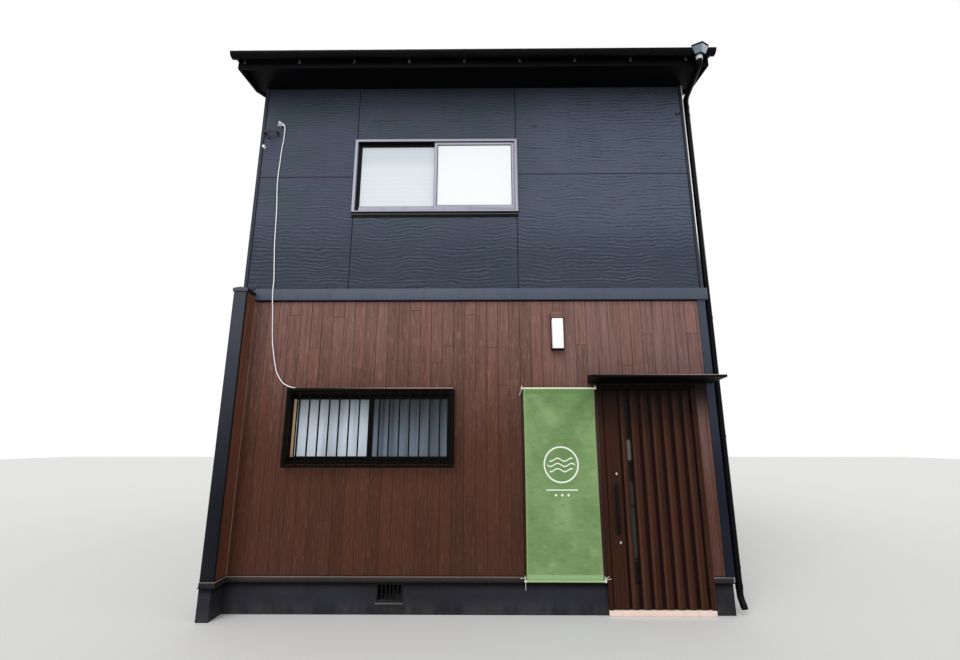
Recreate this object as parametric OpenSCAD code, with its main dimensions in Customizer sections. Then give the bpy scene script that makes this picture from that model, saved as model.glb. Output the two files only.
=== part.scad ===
/* [House] */
// Width of the house over its party walls
house_w = 4800; // [4700:20:5400]
// Depth of the house from the street cladding to the rear cladding
house_d = 7280; // [6400:20:9000]
// Thickness of the framed street and rear walls
wall_t = 120; // [110:5:150]
// Thickness of the party walls
party_t = 130; // [110:5:150]
// Thickness of the boards and siding on the street and rear walls
clad_t = 18; // [12:1:24]
// Height of the concrete plinth above the ground
plinth_h = 275; // [250:5:320]
// Height of the ground floor slab and the door threshold
slab_h = 50; // [30:5:80]
// Height of the upper floor
floor_z = 3030; // [2940:10:3100]
// Thickness of the upper floor with its joists and ceiling
floor_t = 200; // [150:10:260]

/* [Facade trim] */
// How far the storey band reaches below the upper floor
band_drop = 60; // [40:5:100]
// Height of the storey band
band_h = 120; // [90:5:150]
// How far the storey band stands out from the cladding
band_out = 35; // [20:1:50]
// Height of the base flashing over the plinth
flash_h = 50; // [40:1:70]
// How far the nose of the base flashing stands out from the cladding
flash_out = 26; // [15:1:40]
// Width of the corner trims on the ground storey, and of all on the party walls' sides
corner_w = 68; // [60:2:100]
// Width of the corner trims on the face of the upper storey
upper_corner_w = 24; // [16:1:60]
// How far the corner trims stand out from the cladding
corner_out = 10; // [6:1:20]

/* [Wing wall] */
// How far the wing wall stands out from the street cladding
wing_out = 200; // [150:10:300]
// How far the wing wall's top stays below the top of the storey band
wing_drop = 62; // [60:1:90]
// Height of the wing wall's coping
coping_h = 32; // [30:2:60]
// How far the coping stands over the wing wall's faces
coping_out = 10; // [5:1:20]

/* [Roof] */
// Underside of the street and rear soffits
soffit_z = 5540; // [5350:10:5600]
// Pitch of both roof slopes in degrees
roof_pitch = 24; // [18:1:28]
// How far the fascias stand out from the cladding
eave_out = 420; // [360:10:560]
// How far the roof runs past the party walls
verge_out = 130; // [100:5:180]
// Height of the fascias
fascia_h = 135; // [125:5:170]
// Thickness of the fascias and the barge boards
fascia_t = 24; // [18:1:30]
// How far the fascias reach below the soffits
fascia_drop = 85; // [5:1:100]
// How far the barge boards reach below the soffit, measured at the street wall
barge_drop = 35; // [5:1:60]
// Thickness of the soffit boards
soffit_t = 12; // [9:1:18]
// Thickness of the roof boarding, measured upright
deck_t = 25; // [18:1:32]
// Thickness of the tile layer, measured upright
tile_t = 60; // [50:2:80]
// How far the tiles drip past the fascias
drip_out = 60; // [45:5:75]
// How far the tiles lap past the barge boards
lap_out = 18; // [10:1:30]
// Width of the ridge stack at its foot
ridge_w = 230; // [180:10:300]
// Height of the ridge stack under its round cap
ridge_h = 110; // [80:5:160]

/* [Rainwater] */
// Radius of the half-round gutters
gutter_r = 52; // [45:1:66]
// Thickness of the gutters
gutter_t = 3; // [2:0.5:4]
// How far the gutters run past the tiles at each end
gutter_past = 26; // [15:1:40]
// Gap between the gutters and the fascias
gutter_gap = 5; // [4:0.5:8]
// Spacing of the gutter brackets
bracket_step = 594; // [450:1:800]
// Radius of the downpipes
pipe_r = 30; // [25:1:33]
// Gap between the downpipes and the storey band's return
pipe_gap = 6; // [4:1:20]
// Radius of the rain heads at their rim, to the corners
head_r = 106; // [90:1:112]
// Height of the rain heads
head_h = 90; // [80:1:130]

/* [Upper window] */
// Width of the upper window frame
upper_w = 1820; // [1600:20:2000]
// Height of the upper window frame
upper_h = 905; // [750:5:1100]
// Underside of the upper window frame
upper_z = 3955; // [3800:5:4100]
// Distance from the left party wall's outer face to the upper window
upper_x = 1076; // [900:10:1200]

/* [Lower window] */
// Width of the lower window frame
lower_w = 1640; // [1400:20:1700]
// Height of the lower window frame
lower_h = 690; // [600:5:800]
// Underside of the lower window frame
lower_z = 1325; // [1200:5:1400]
// Distance from the left party wall's outer face to the lower window
lower_x = 584; // [560:2:760]
// How far the window grille reaches over and under the window frame
grille_past = 32; // [20:1:45]
// Distance from the cladding to the face of the window grille
grille_out = 105; // [80:1:130]
// Spacing of the grille bars
grille_step = 98; // [70:1:120]
// Width of a grille bar
grille_bar = 12; // [8:1:16]

/* [Window sections] */
// Face width of the window frames
win_face = 30; // [24:1:40]
// Depth of the window frames
win_depth = 100; // [80:1:110]
// How far the window frames stand out from the cladding
win_out = 22; // [10:1:30]
// Face width of the sash stiles and rails
sash_face = 34; // [26:1:45]
// Height of the bottom rails of the upper sashes
sash_foot = 66; // [34:1:90]
// Thickness of the sashes
sash_t = 26; // [20:1:30]
// Thickness of the glass
glass_t = 5; // [3:1:8]

/* [Entrance] */
// Distance from the door frame to the right party wall's outer face
door_margin = 184; // [174:1:220]
// Width of the door frame
door_w = 966; // [900:2:1050]
// Top of the door frame
door_top = 2080; // [1950:5:2090]
// Face width of the door frame's jambs and head
jamb_w = 38; // [30:1:50]
// Gap between the leaf and the lock jamb
lock_gap = 9; // [8:0.5:12]
// Gap between the leaf and the hinge jamb
hinge_gap = 18; // [17:0.5:22]
// Gap between the leaf and the head, the threshold and the stop
leaf_gap = 7; // [5.5:0.5:9]
// Thickness of the door leaf behind its ribs
leaf_t = 46; // [40:1:56]
// Height of the ribs on the door leaf
rib_h = 18; // [8:1:20]
// Number of ribs across the door leaf
rib_count = 7; // [5:1:9]
// Width of the groove between two ribs
rib_groove = 20; // [5:1:26]
// Width of the flat lock panel of the door leaf
lock_panel = 136; // [110:1:150]
// Width of the glazed slit beside the first rib
slit_w = 46; // [30:1:54]
// Underside of the glazed slit
slit_z = 265; // [200:5:400]
// Height of the glazed slit
slit_h = 1665; // [1300:5:1700]
// Length of the pull bar
pull_len = 460; // [300:10:600]
// Width of the pull bar
pull_w = 24; // [16:1:32]
// Underside of the pull bar
pull_z = 700; // [650:10:800]
// Length of a hinge barrel
barrel_len = 108; // [80:1:140]
// Radius of a hinge barrel
barrel_r = 7; // [6:0.25:7.5]
// Radius of a hinge pin
pin_r = 3.5; // [3:0.25:4]

/* [Canopy] */
// How far the canopy stands out from the cladding
canopy_out = 330; // [280:10:450]
// Underside of the canopy at the wall
canopy_z = 2100; // [2095:1:2130]
// Thickness of the canopy at the wall
canopy_root = 84; // [60:1:110]
// Thickness of the canopy's front edge
canopy_nose = 22; // [15:1:35]
// How far the canopy reaches past the left of the door frame
canopy_past = 92; // [40:1:120]

/* [Fittings] */
// Width of the vent in the plinth
vent_w = 240; // [180:5:320]
// Height of the vent in the plinth
vent_h = 160; // [110:5:170]
// Distance from the left party wall's outer face to the vent
vent_x = 1527; // [1400:5:1700]
// Width of the wall lamp
lamp_w = 126; // [100:2:160]
// Height of the wall lamp
lamp_h = 390; // [300:5:440]
// Underside of the wall lamp
lamp_z = 2436; // [2350:2:2450]
// How far the wall lamp stands out from the cladding
lamp_out = 85; // [60:1:110]
// Width of the banner cloth
banner_w = 700; // [600:10:720]
// Top of the banner's upper rod
banner_top = 2056; // [1900:2:2080]
// Underside of the banner's lower rod
banner_low = 290; // [285:1:420]
// Distance from the banner cloth to the door frame
banner_side = 44; // [40:1:60]
// Distance from the cladding to the banner cloth
banner_out = 46; // [40:1:60]
// Radius of the banner rods
rod_r = 8; // [6:1:10]

/* [Hidden] */
$fn = 48;

// Colours of the real finishes
board_brown = "#6b4a40";
siding_grey = "#3f444e";
trim_grey = "#474b56";
dark_metal = "#1c1d20";
bronze = "#2b2320";
door_brown = "#44281c";
concrete = "#9a978f";
plinth_grey = "#2b2e34";

// Cuts reach past the faces that they open by this much
eps = 1;
// Free play of a piece that slides in or sits on another
fit = 0.3;

// Plan lines, with the street wall's centreline at y = 0
hw = house_w / 2;
party_in = hw - party_t;
frame_y = -wall_t / 2;
room_y = wall_t / 2;
street_y = frame_y - clad_t;
mid_y = street_y + house_d / 2;
rear_room_y = 2 * mid_y - room_y;
band_z = floor_z - band_drop;
wing_h = band_z + band_h - wing_drop;
wing_core_x = -party_in - clad_t;

// Roof lines
slope = tan(roof_pitch);
fascia_y = street_y - eave_out;
fascia_back = fascia_y + fascia_t;
fascia_z = soffit_z - fascia_drop;
fascia_top = fascia_z + fascia_h;
verge_x = hw + verge_out;
tile_x = verge_x + lap_out;
tip_y = fascia_y - drip_out;
function tile_under(y) = fascia_top + slope * (y - fascia_y);
function tile_over(y) = tile_under(y) + tile_t;
function deck_under(y) = tile_under(y) - deck_t;
function verge_under(y) = soffit_z + slope * (y - street_y);

// Rainwater lines
rim_drop = 9;
rim_z = fascia_top - rim_drop;
gutter_y = fascia_y - gutter_gap - gutter_r;
gutter_x = tile_x + gutter_past;
head_x = hw;
head_y = gutter_y - 12;
head_top = rim_z + 18;
head_foot_r = 64;
head_wall = 3;
pipe_x = hw + band_out + pipe_gap + pipe_r;
pipe_y = street_y + corner_w - 10;

// Window lines
upper_x0 = -hw + upper_x;
upper_x1 = upper_x0 + upper_w;
lower_x0 = -hw + lower_x;
lower_x1 = lower_x0 + lower_w;
win_y = street_y - win_out;
outer_sash_y = win_y + 16;
inner_sash_y = outer_sash_y + sash_t + 6;

// Door lines
door_x1 = hw - door_margin;
door_x0 = door_x1 - door_w;
leaf_x0 = door_x0 + jamb_w + lock_gap;
leaf_x1 = door_x1 - jamb_w - hinge_gap;
leaf_z0 = slab_h + leaf_gap;
leaf_z1 = door_top - jamb_w - leaf_gap;
door_face = street_y - 15;
leaf_back = street_y + rib_h + leaf_t - 12;
leaf_face = leaf_back - leaf_t;
rib_crest = leaf_face - rib_h;
stop_y = leaf_back + leaf_gap;
stop_w = 14;
rib_x0 = leaf_x0 + lock_panel + rib_groove;
rib_pitch = (leaf_x1 - rib_x0 + rib_groove) / rib_count;
rib_w = rib_pitch - rib_groove;
slit_x1 = rib_x0 + rib_w + rib_groove * 0.6;
slit_x0 = slit_x1 - slit_w;
slit_z1 = min(slit_z + slit_h, leaf_z1 - 60);
axis_x = leaf_x1 + hinge_gap / 2;
axis_y = rib_crest - 2;
hinge_inset = 170;
hinge_zs = [leaf_z0 + hinge_inset, (leaf_z0 + leaf_z1) / 2, leaf_z1 - hinge_inset];
lock_x = leaf_x0 + lock_panel * 0.55;

// Banner lines
banner_x1 = door_x0 - banner_side;
banner_x0 = banner_x1 - banner_w;
banner_y = street_y - banner_out;
rod_past = 24;

module box(x0, x1, y0, y1, z0, z1) {
    translate([x0, y0, z0]) cube([x1 - x0, y1 - y0, z1 - z0]);
}

// Extrudes an outline drawn in y and z along x
module along_x(x0, x1) {
    translate([x0, 0, 0]) rotate([90, 0, 90]) linear_extrude(x1 - x0) children();
}

// Extrudes an outline drawn in x and z along y
module along_y(y0, y1) {
    translate([0, y1, 0]) rotate([90, 0, 0]) linear_extrude(y1 - y0) children();
}

// Puts a copy of a street side piece on the rear side
module to_rear() {
    translate([0, 2 * mid_y, 0]) mirror([0, 1, 0]) children();
}

module both_sides() {
    children();
    to_rear() children();
}

function unit(v) = v / norm(v);

// One ring of points round a line's point, square to the way that the line runs there
function ring(p, way, r, sides, side_way) = let (
    u = unit(cross(way, side_way)),
    v = cross(way, u))
    [for (k = [0 : sides - 1]) p + r * (cos(360 * k / sides) * u + sin(360 * k / sides) * v)];
function line_way(line, i) = unit(line[min(i + 1, len(line) - 1)] - line[max(i - 1, 0)]);
function line_ring(line, i, r, sides, side_way) =
    ring(line[i], line_way(line, i), r, sides, side_way);

// Skin over a stack of rings that all have the same number of points
module ring_skin(rings, sides) {
    count = len(rings);
    walls = [for (i = [0 : count - 2], k = [0 : sides - 1]) let (
            a = i * sides + k, b = i * sides + (k + 1) % sides)
        each [[a, b + sides, b], [a, a + sides, b + sides]]];
    ends = [[for (k = [0 : sides - 1]) k],
            [for (k = [0 : sides - 1]) count * sides - 1 - k]];
    polyhedron([for (r = rings) each r], concat(ends, walls), convexity = 10);
}

module tube(line, r, sides, side_way) {
    ring_skin([for (i = [0 : len(line) - 1]) line_ring(line, i, r, sides, side_way)], sides);
}

// A tube with a bore that starts at its last point and runs back to the point before
module open_tube(line, r, bore_r, sides, side_way) {
    last = len(line) - 1;
    ring_skin(concat(
        [for (i = [0 : last]) line_ring(line, i, r, sides, side_way)],
        [line_ring(line, last, bore_r, sides, side_way),
         line_ring(line, last - 1, bore_r, sides, side_way)]), sides);
}

module upper_opening(y0, y1) {
    box(upper_x0, upper_x1, y0, y1, upper_z, upper_z + upper_h);
}

module lower_opening(y0, y1) {
    box(lower_x0, lower_x1, y0, y1, lower_z, lower_z + lower_h);
}

// Strip foundation on all four sides, lower under the doorway
vent_x0 = -hw + vent_x;
vent_z1 = plinth_h - 12;
module foundation() {
    color(plinth_grey) {
        difference() {
            union() {
                box(-hw, hw, frame_y, room_y, 0, plinth_h);
                to_rear() box(-hw, hw, frame_y, room_y, 0, plinth_h);
                box(-hw, -party_in, frame_y, 2 * mid_y - frame_y, 0, plinth_h);
                box(party_in, hw, frame_y, 2 * mid_y - frame_y, 0, plinth_h);
                box(-hw, wing_core_x, street_y - wing_out, frame_y, 0, plinth_h);
            }
            box(door_x0, door_x1, frame_y - eps, room_y + eps, slab_h, plinth_h + eps);
            box(vent_x0, vent_x0 + vent_w, frame_y - eps, room_y + eps,
                vent_z1 - vent_h, vent_z1);
        }
    }
}

module door_threshold() {
    color(concrete) box(door_x0, door_x1, door_face, frame_y, 0, slab_h);
}

module ground_floor() {
    color(concrete) box(-party_in, party_in, room_y, rear_room_y, 0, slab_h);
}

// Cast vent with upright bars, set in the plinth under the flashing
vent_bars = 5;
vent_rim = 12;
module vent_grille() {
    x0 = vent_x0;
    x1 = vent_x0 + vent_w;
    z0 = vent_z1 - vent_h;
    step = (vent_w - 2 * vent_rim) / (vent_bars + 1);
    color(trim_grey) {
        difference() {
            box(x0, x1, frame_y - 4, frame_y + 30, z0, vent_z1);
            box(x0 + vent_rim, x1 - vent_rim, frame_y - 5, frame_y + 31,
                z0 + vent_rim, vent_z1 - vent_rim);
        }
        for (i = [1 : vent_bars])
            box(x0 + vent_rim + i * step - 5, x0 + vent_rim + i * step + 5,
                frame_y + 8, frame_y + 20, z0 + vent_rim, vent_z1 - vent_rim);
    }
}

// Plan of the base flashing, standing out from the cladding by a given amount
module flashing_plan(out) {
    difference() {
        union() {
            translate([-party_in, street_y - out]) square([door_x0 + party_in, out + clad_t]);
            translate([-hw, street_y - wing_out - out])
                square([party_t + out, wing_out + out + clad_t]);
        }
        translate([-hw - eps, street_y - wing_out])
            square([party_t - clad_t + eps, wing_out + clad_t + eps]);
    }
    translate([door_x1, street_y - out]) square([hw - door_x1, out + clad_t]);
}

// Folded drip flashing between the plinth and the boards
module base_flashing() {
    lip_h = 10;
    web_out = flash_out / 2;
    color(trim_grey) {
        translate([0, 0, plinth_h]) linear_extrude(lip_h) flashing_plan(flash_out);
        translate([0, 0, plinth_h + lip_h])
            linear_extrude(flash_h - lip_h) flashing_plan(web_out);
        to_rear() {
            box(-hw, hw, street_y - flash_out, frame_y, plinth_h, plinth_h + lip_h);
            box(-hw, hw, street_y - web_out, frame_y, plinth_h + lip_h, plinth_h + flash_h);
        }
    }
}

module front_wall_lower() {
    color(concrete) difference() {
        box(-party_in, door_x0, frame_y, room_y, plinth_h, floor_z);
        lower_opening(frame_y - eps, room_y + eps);
    }
}

module front_wall_over_door() {
    color(concrete) box(door_x0, door_x1, frame_y, room_y, door_top, floor_z);
}

module door_post() {
    color(concrete) box(door_x1, party_in, frame_y, room_y, plinth_h, floor_z);
}

module front_wall_upper() {
    color(concrete) difference() {
        along_x(-party_in, party_in) polygon([
            [frame_y, floor_z], [room_y, floor_z],
            [room_y, deck_under(room_y)], [frame_y, deck_under(frame_y)]]);
        upper_opening(frame_y - eps, room_y + eps);
    }
}

module party_wall(x0, x1) {
    far = 2 * mid_y - frame_y;
    color(siding_grey) along_x(x0, x1) polygon([
        [frame_y, plinth_h], [far, plinth_h], [far, deck_under(frame_y)],
        [mid_y, deck_under(mid_y)], [frame_y, deck_under(frame_y)]]);
}

module party_wall_left() { party_wall(-hw, -party_in); }

module party_wall_right() { party_wall(party_in, hw); }

module rear_wall() {
    color(concrete) to_rear() difference() {
        along_x(-party_in, party_in) polygon([
            [frame_y, plinth_h], [room_y, plinth_h],
            [room_y, deck_under(room_y)], [frame_y, deck_under(frame_y)]]);
        upper_opening(frame_y - eps, room_y + eps);
        lower_opening(frame_y - eps, room_y + eps);
    }
}

module upper_floor() {
    color("tan") box(-party_in, party_in, room_y, rear_room_y, floor_z - floor_t, floor_z);
}

// Sleeve wall that runs out from the left party wall beside the entrance front
module wing_wall() {
    color(siding_grey)
        box(-hw, wing_core_x, street_y - wing_out, frame_y, plinth_h, wing_h);
}

// Sheet metal coping with a saddle top and a drip on its open sides
module wing_coping() {
    x0 = -hw - coping_out;
    x1 = -party_in + coping_out;
    drip = 16;
    color(dark_metal) difference() {
        along_y(street_y - wing_out - coping_out, street_y) polygon([
            [x0, wing_h - drip], [x1, wing_h - drip], [x1, wing_h + coping_h * 0.6],
            [(x0 + x1) / 2, wing_h + coping_h], [x0, wing_h + coping_h * 0.6]]);
        box(-hw, -party_in, street_y - wing_out, street_y + eps, wing_h - drip - eps, wing_h);
        box(-party_in - fit, x1 + eps, street_y - band_out - fit, street_y + eps,
            wing_h - drip - eps, wing_h + coping_h + eps);
    }
}

// Upright boards of the ground storey, on the street front, the wing wall and the rear
module board_cladding() {
    z0 = plinth_h + flash_h;
    color(board_brown) {
        difference() {
            union() {
                box(-party_in, hw, street_y, frame_y, z0, band_z);
                box(wing_core_x, -party_in, street_y - wing_out, frame_y, z0, wing_h);
            }
            box(door_x0, door_x1, street_y - eps, frame_y + eps, z0 - eps, door_top);
            lower_opening(street_y - eps, frame_y + eps);
        }
        to_rear() difference() {
            box(-hw, hw, street_y, frame_y, z0, band_z);
            lower_opening(street_y - eps, frame_y + eps);
        }
    }
}

// Embossed panels of the upper storey, on the street front and the rear
module upper_siding() {
    color(siding_grey) both_sides() difference() {
        box(-hw, hw, street_y, frame_y, band_z + band_h, soffit_z);
        upper_opening(street_y - eps, frame_y + eps);
    }
}

// Folded band over the joint of the storeys, returned round the right corner
module storey_bands() {
    back = 110;
    color(trim_grey) {
        box(-party_in, hw, street_y - band_out, frame_y, band_z, band_z + band_h);
        box(hw, hw + band_out, street_y - band_out, frame_y + back, band_z, band_z + band_h);
        to_rear() box(-hw, hw, street_y - band_out, frame_y, band_z, band_z + band_h);
    }
}

// Angle trims on the corners, each a plate on the face and a plate on the side
module corner_trim(side, face_w, z0, z1) {
    outer = side * (hw + corner_out);
    inner = side * (hw - face_w);
    wall = side * hw;
    box(min(outer, inner), max(outer, inner), street_y - corner_out, street_y, z0, z1);
    box(min(outer, wall), max(outer, wall), street_y, street_y + corner_w, z0, z1);
}

module corner_trims() {
    z0 = plinth_h + flash_h;
    z2 = band_z + band_h;
    color(trim_grey) {
        corner_trim(1, corner_w, z0, band_z);
        both_sides() for (side = [-1, 1]) corner_trim(side, upper_corner_w, z2, soffit_z);
        to_rear() for (side = [-1, 1]) corner_trim(side, corner_w, z0, band_z);
    }
}

// One roof slope: boarding that stops behind the fascia, and tiles that drip past it
module roof_slope() {
    color("#3a3d42") along_x(-tile_x, tile_x) polygon([
        [tip_y, tile_under(tip_y)], [tip_y, tile_over(tip_y)],
        [mid_y, tile_over(mid_y)], [mid_y, deck_under(mid_y)],
        [fascia_back, deck_under(fascia_back)], [fascia_back, tile_under(fascia_back)]]);
}

module roof_front() { roof_slope(); }

module roof_rear() { to_rear() roof_slope(); }

// Ridge stack of flat courses under a round cap, closed by an end tile at each verge
module roof_ridge() {
    half = ridge_w / 2;
    cap_r = ridge_w * 0.34;
    foot = tile_over(mid_y - half);
    crown = tile_over(mid_y) + ridge_h;
    end_t = 46;
    color("#34373c") {
        difference() {
            union() {
                along_x(-tile_x, tile_x) {
                    polygon([[mid_y - half, foot], [mid_y + half, foot],
                             [mid_y + half * 0.78, crown], [mid_y - half * 0.78, crown]]);
                    translate([mid_y, crown]) circle(cap_r);
                }
                for (s = [-1, 1]) translate([s * (tile_x - end_t / 2), 0, 0])
                    along_x(-end_t / 2 - 4, end_t / 2 + 4) translate([mid_y, 0])
                        polygon([[-half * 1.35, foot - 10], [half * 1.35, foot - 10],
                                 [half * 1.1, crown + 20], [half * 0.5, crown + cap_r * 1.25],
                                 [-half * 0.5, crown + cap_r * 1.25], [-half * 1.1, crown + 20]]);
            }
            for (s = [-1, 1]) along_x(-tile_x - end_t, tile_x + end_t) polygon([
                [mid_y, tile_over(mid_y)],
                [mid_y + s * ridge_w, tile_over(mid_y - ridge_w)],
                [mid_y + s * ridge_w, foot - ridge_w], [mid_y, foot - ridge_w]]);
        }
    }
}

// Boxed eave: the fascia with its top cut to the roof pitch, and the soffit board
module eave() {
    inner_x = verge_x - fascia_t;
    color(dark_metal) {
        along_x(-verge_x, verge_x) polygon([
            [fascia_y, fascia_z], [fascia_back, fascia_z],
            [fascia_back, tile_under(fascia_back)], [fascia_y, fascia_top]]);
        box(-inner_x, inner_x, fascia_back, frame_y, soffit_z, soffit_z + soffit_t);
    }
}

module front_eave() { eave(); }

module rear_eave() { to_rear() eave(); }

// Barge board with the eave ends, and the sloping soffit strips behind it
module verge(side) {
    x_out = side * verge_x;
    x_mid = side * (verge_x - fascia_t);
    x_wall = side * hw;
    color(dark_metal) both_sides() {
        along_x(min(x_out, x_mid), max(x_out, x_mid)) polygon([
            [fascia_back, fascia_z], [street_y, soffit_z - barge_drop],
            [mid_y, verge_under(mid_y) - barge_drop],
            [mid_y, deck_under(mid_y)], [fascia_back, deck_under(fascia_back)]]);
        along_x(min(x_wall, x_mid), max(x_wall, x_mid)) polygon([
            [frame_y, verge_under(frame_y)], [mid_y, verge_under(mid_y)],
            [mid_y, verge_under(mid_y) + soffit_t], [frame_y, verge_under(frame_y) + soffit_t]]);
    }
}

module verge_left() { verge(-1); }

module verge_right() { verge(1); }

// Half-round gutter with a rolled front bead, stop ends and an outlet over the rain head
bead_r = 5;
module gutter() {
    difference() {
        union() {
            along_x(-gutter_x, gutter_x) {
                difference() {
                    translate([gutter_y, rim_z]) circle(gutter_r);
                    translate([gutter_y, rim_z]) circle(gutter_r - gutter_t);
                    translate([gutter_y - 2 * gutter_r, rim_z])
                        square([4 * gutter_r, 2 * gutter_r]);
                }
                translate([gutter_y - gutter_r + bead_r, rim_z]) circle(bead_r);
            }
            for (x = [-gutter_x, gutter_x - gutter_t]) along_x(x, x + gutter_t)
                difference() {
                    translate([gutter_y, rim_z]) circle(gutter_r);
                    translate([gutter_y - 2 * gutter_r, rim_z])
                        square([4 * gutter_r, 2 * gutter_r]);
                }
        }
        translate([head_x, gutter_y, rim_z - 2 * gutter_r]) cylinder(2 * gutter_r, r = pipe_r - 4);
    }
}

module gutters() { color(dark_metal) both_sides() gutter(); }

// Strap brackets that hook under the gutter from a plate on the fascia
module gutter_brackets() {
    strap_t = 3;
    strap_w = 25;
    r = gutter_r + fit;
    x0 = -verge_x + 70;
    count = floor((2 * verge_x - 100) / bracket_step);
    head_room = head_r * cos(30) + strap_w / 2;
    color("#8a8d92") both_sides() for (i = [0 : count]) {
        x = x0 + i * bracket_step;
        if (abs(x - head_x) > head_room) along_x(x - strap_w / 2, x + strap_w / 2) {
            difference() {
                translate([gutter_y, rim_z]) circle(r + strap_t);
                translate([gutter_y, rim_z]) circle(r);
                translate([gutter_y - 2 * gutter_r, rim_z]) square([4 * gutter_r, 2 * gutter_r]);
            }
            translate([fascia_y - strap_t, rim_z - 70]) square([strap_t, 76]);
        }
    }
}

// Six-sided hopper that stands round the gutter's outlet
module hopper(grow, top) {
    translate([0, 0, -grow]) rotate([0, 0, 90])
        cylinder(h = head_h + top, r1 = head_foot_r + grow, r2 = head_r + grow, $fn = 6);
}

module rain_head() {
    difference() {
        translate([head_x, head_y, head_top - head_h]) difference() {
            hopper(0, 0);
            translate([0, 0, head_wall]) hopper(-head_wall, head_wall + eps);
            translate([0, 0, -eps]) cylinder(head_wall * 3, r = pipe_r - 6);
        }
        along_x(head_x - 2 * head_r, head_x + 2 * head_r) {
            translate([gutter_y, rim_z]) circle(gutter_r + fit);
            translate([gutter_y - gutter_r - fit, rim_z])
                square([4 * gutter_r, 4 * gutter_r]);
            translate([fascia_y, rim_z - 3 * gutter_r]) square([4 * gutter_r, 8 * gutter_r]);
        }
    }
}

module rain_heads() { color(trim_grey) both_sides() rain_head(); }

// Downpipe: from the rain head back under the soffit, then down the party wall's outer face
// through sleeves and clips to a kicked-out shoe with an open end
pipe_bore = pipe_r - 3;
sleeve_t = 3;
sleeve_h = 46;
clip_h = 22;
clip_zs = [400, 1590, 2790, 3990, 5200];
sleeve_zs = [235, 5300];
outlet_z = head_top - head_h;
neck_z = fascia_z - pipe_r - 8;
neck_bend = min(64, 0.7 * (outlet_z - neck_z));
pipe_corners = [
    [head_x, head_y, outlet_z],
    [head_x, head_y, neck_z],
    [pipe_x, pipe_y, neck_z],
    [pipe_x, pipe_y, 150],
    [pipe_x, pipe_y - 60, 62]
];
function corner_bend(a, b, c, reach) = [for (k = [0 : 6]) let (
    t = k / 6,
    from = b + reach * unit(a - b),
    to = b + reach * unit(c - b))
    (1 - t) * (1 - t) * from + 2 * t * (1 - t) * b + t * t * to];
pipe_end = pipe_corners[4];
pipe_line = concat(
    [pipe_corners[0]],
    corner_bend(pipe_corners[0], pipe_corners[1], pipe_corners[2], neck_bend),
    corner_bend(pipe_corners[1], pipe_corners[2], pipe_corners[3], 70),
    corner_bend(pipe_corners[2], pipe_corners[3], pipe_corners[4], 34),
    [pipe_end + 60 * unit(pipe_corners[3] - pipe_end), pipe_end]);

module collar(z, h) {
    translate([pipe_x, pipe_y, z - h / 2]) difference() {
        cylinder(h, r = pipe_r + sleeve_t);
        translate([0, 0, -eps]) cylinder(h + 2 * eps, r = pipe_r + fit);
    }
}

module downpipe() {
    open_tube(pipe_line, pipe_r, pipe_bore, 16, [1, 0.02, 0.01]);
    for (z = sleeve_zs) collar(z, sleeve_h);
    for (z = clip_zs) {
        collar(z, clip_h);
        box(hw + corner_out, pipe_x - pipe_r - 1, pipe_y - 4, pipe_y + 4, z - 8, z + 8);
    }
}

module downpipes() { color("#25272b") both_sides() downpipe(); }

// Sliding window: an outer frame and two sashes on their own tracks
module window_frame(x0, w, z0, h) {
    difference() {
        box(x0, x0 + w, win_y, win_y + win_depth, z0, z0 + h);
        box(x0 + win_face, x0 + w - win_face, win_y - eps, win_y + win_depth + eps,
            z0 + win_face, z0 + h - win_face);
    }
    box(x0, x0 + w, win_y - 8, win_y, z0, z0 + 10);
}

module sash_outline(x0, x1, z0, z1, y0, foot) {
    difference() {
        box(x0, x1, y0, y0 + sash_t, z0, z1);
        box(x0 + sash_face, x1 - sash_face, y0 - eps, y0 + sash_t + eps,
            z0 + foot, z1 - sash_face);
    }
}

function sash_mid(x0, w) = x0 + w / 2;
module sash_pair(x0, w, z0, h, foot = sash_face) {
    lap = sash_face / 2;
    za = z0 + win_face + fit;
    zb = z0 + h - win_face - fit;
    sash_outline(sash_mid(x0, w) - lap, x0 + w - win_face - fit, za, zb, outer_sash_y, foot);
    sash_outline(x0 + win_face + fit, sash_mid(x0, w) + lap, za, zb, inner_sash_y, foot);
}

module pane_pair(x0, w, z0, h, foot = sash_face) {
    lap = sash_face / 2;
    inset = win_face + fit + sash_face;
    seat = (sash_t - glass_t) / 2;
    low = z0 + win_face + fit + foot;
    box(sash_mid(x0, w) - lap + sash_face, x0 + w - inset, outer_sash_y + seat,
        outer_sash_y + seat + glass_t, low, z0 + h - inset);
    box(x0 + inset, sash_mid(x0, w) + lap - sash_face, inner_sash_y + seat,
        inner_sash_y + seat + glass_t, low, z0 + h - inset);
}

module upper_window_frame() {
    color("#6d6a78") window_frame(upper_x0, upper_w, upper_z, upper_h);
}

module upper_window_sashes() {
    color("#6d6a78") sash_pair(upper_x0, upper_w, upper_z, upper_h, sash_foot);
}

module lower_window_frame() {
    color(bronze) window_frame(lower_x0, lower_w, lower_z, lower_h);
}

module lower_window_sashes() {
    color(bronze) sash_pair(lower_x0, lower_w, lower_z, lower_h);
}

module rear_windows() {
    color(bronze) to_rear() {
        window_frame(upper_x0, upper_w, upper_z, upper_h);
        sash_pair(upper_x0, upper_w, upper_z, upper_h, sash_foot);
        window_frame(lower_x0, lower_w, lower_z, lower_h);
        sash_pair(lower_x0, lower_w, lower_z, lower_h);
    }
}

module front_window_glass() {
    color("lightblue") {
        pane_pair(upper_x0, upper_w, upper_z, upper_h, sash_foot);
        pane_pair(lower_x0, lower_w, lower_z, lower_h);
    }
}

module rear_window_glass() { to_rear() front_window_glass(); }

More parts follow.
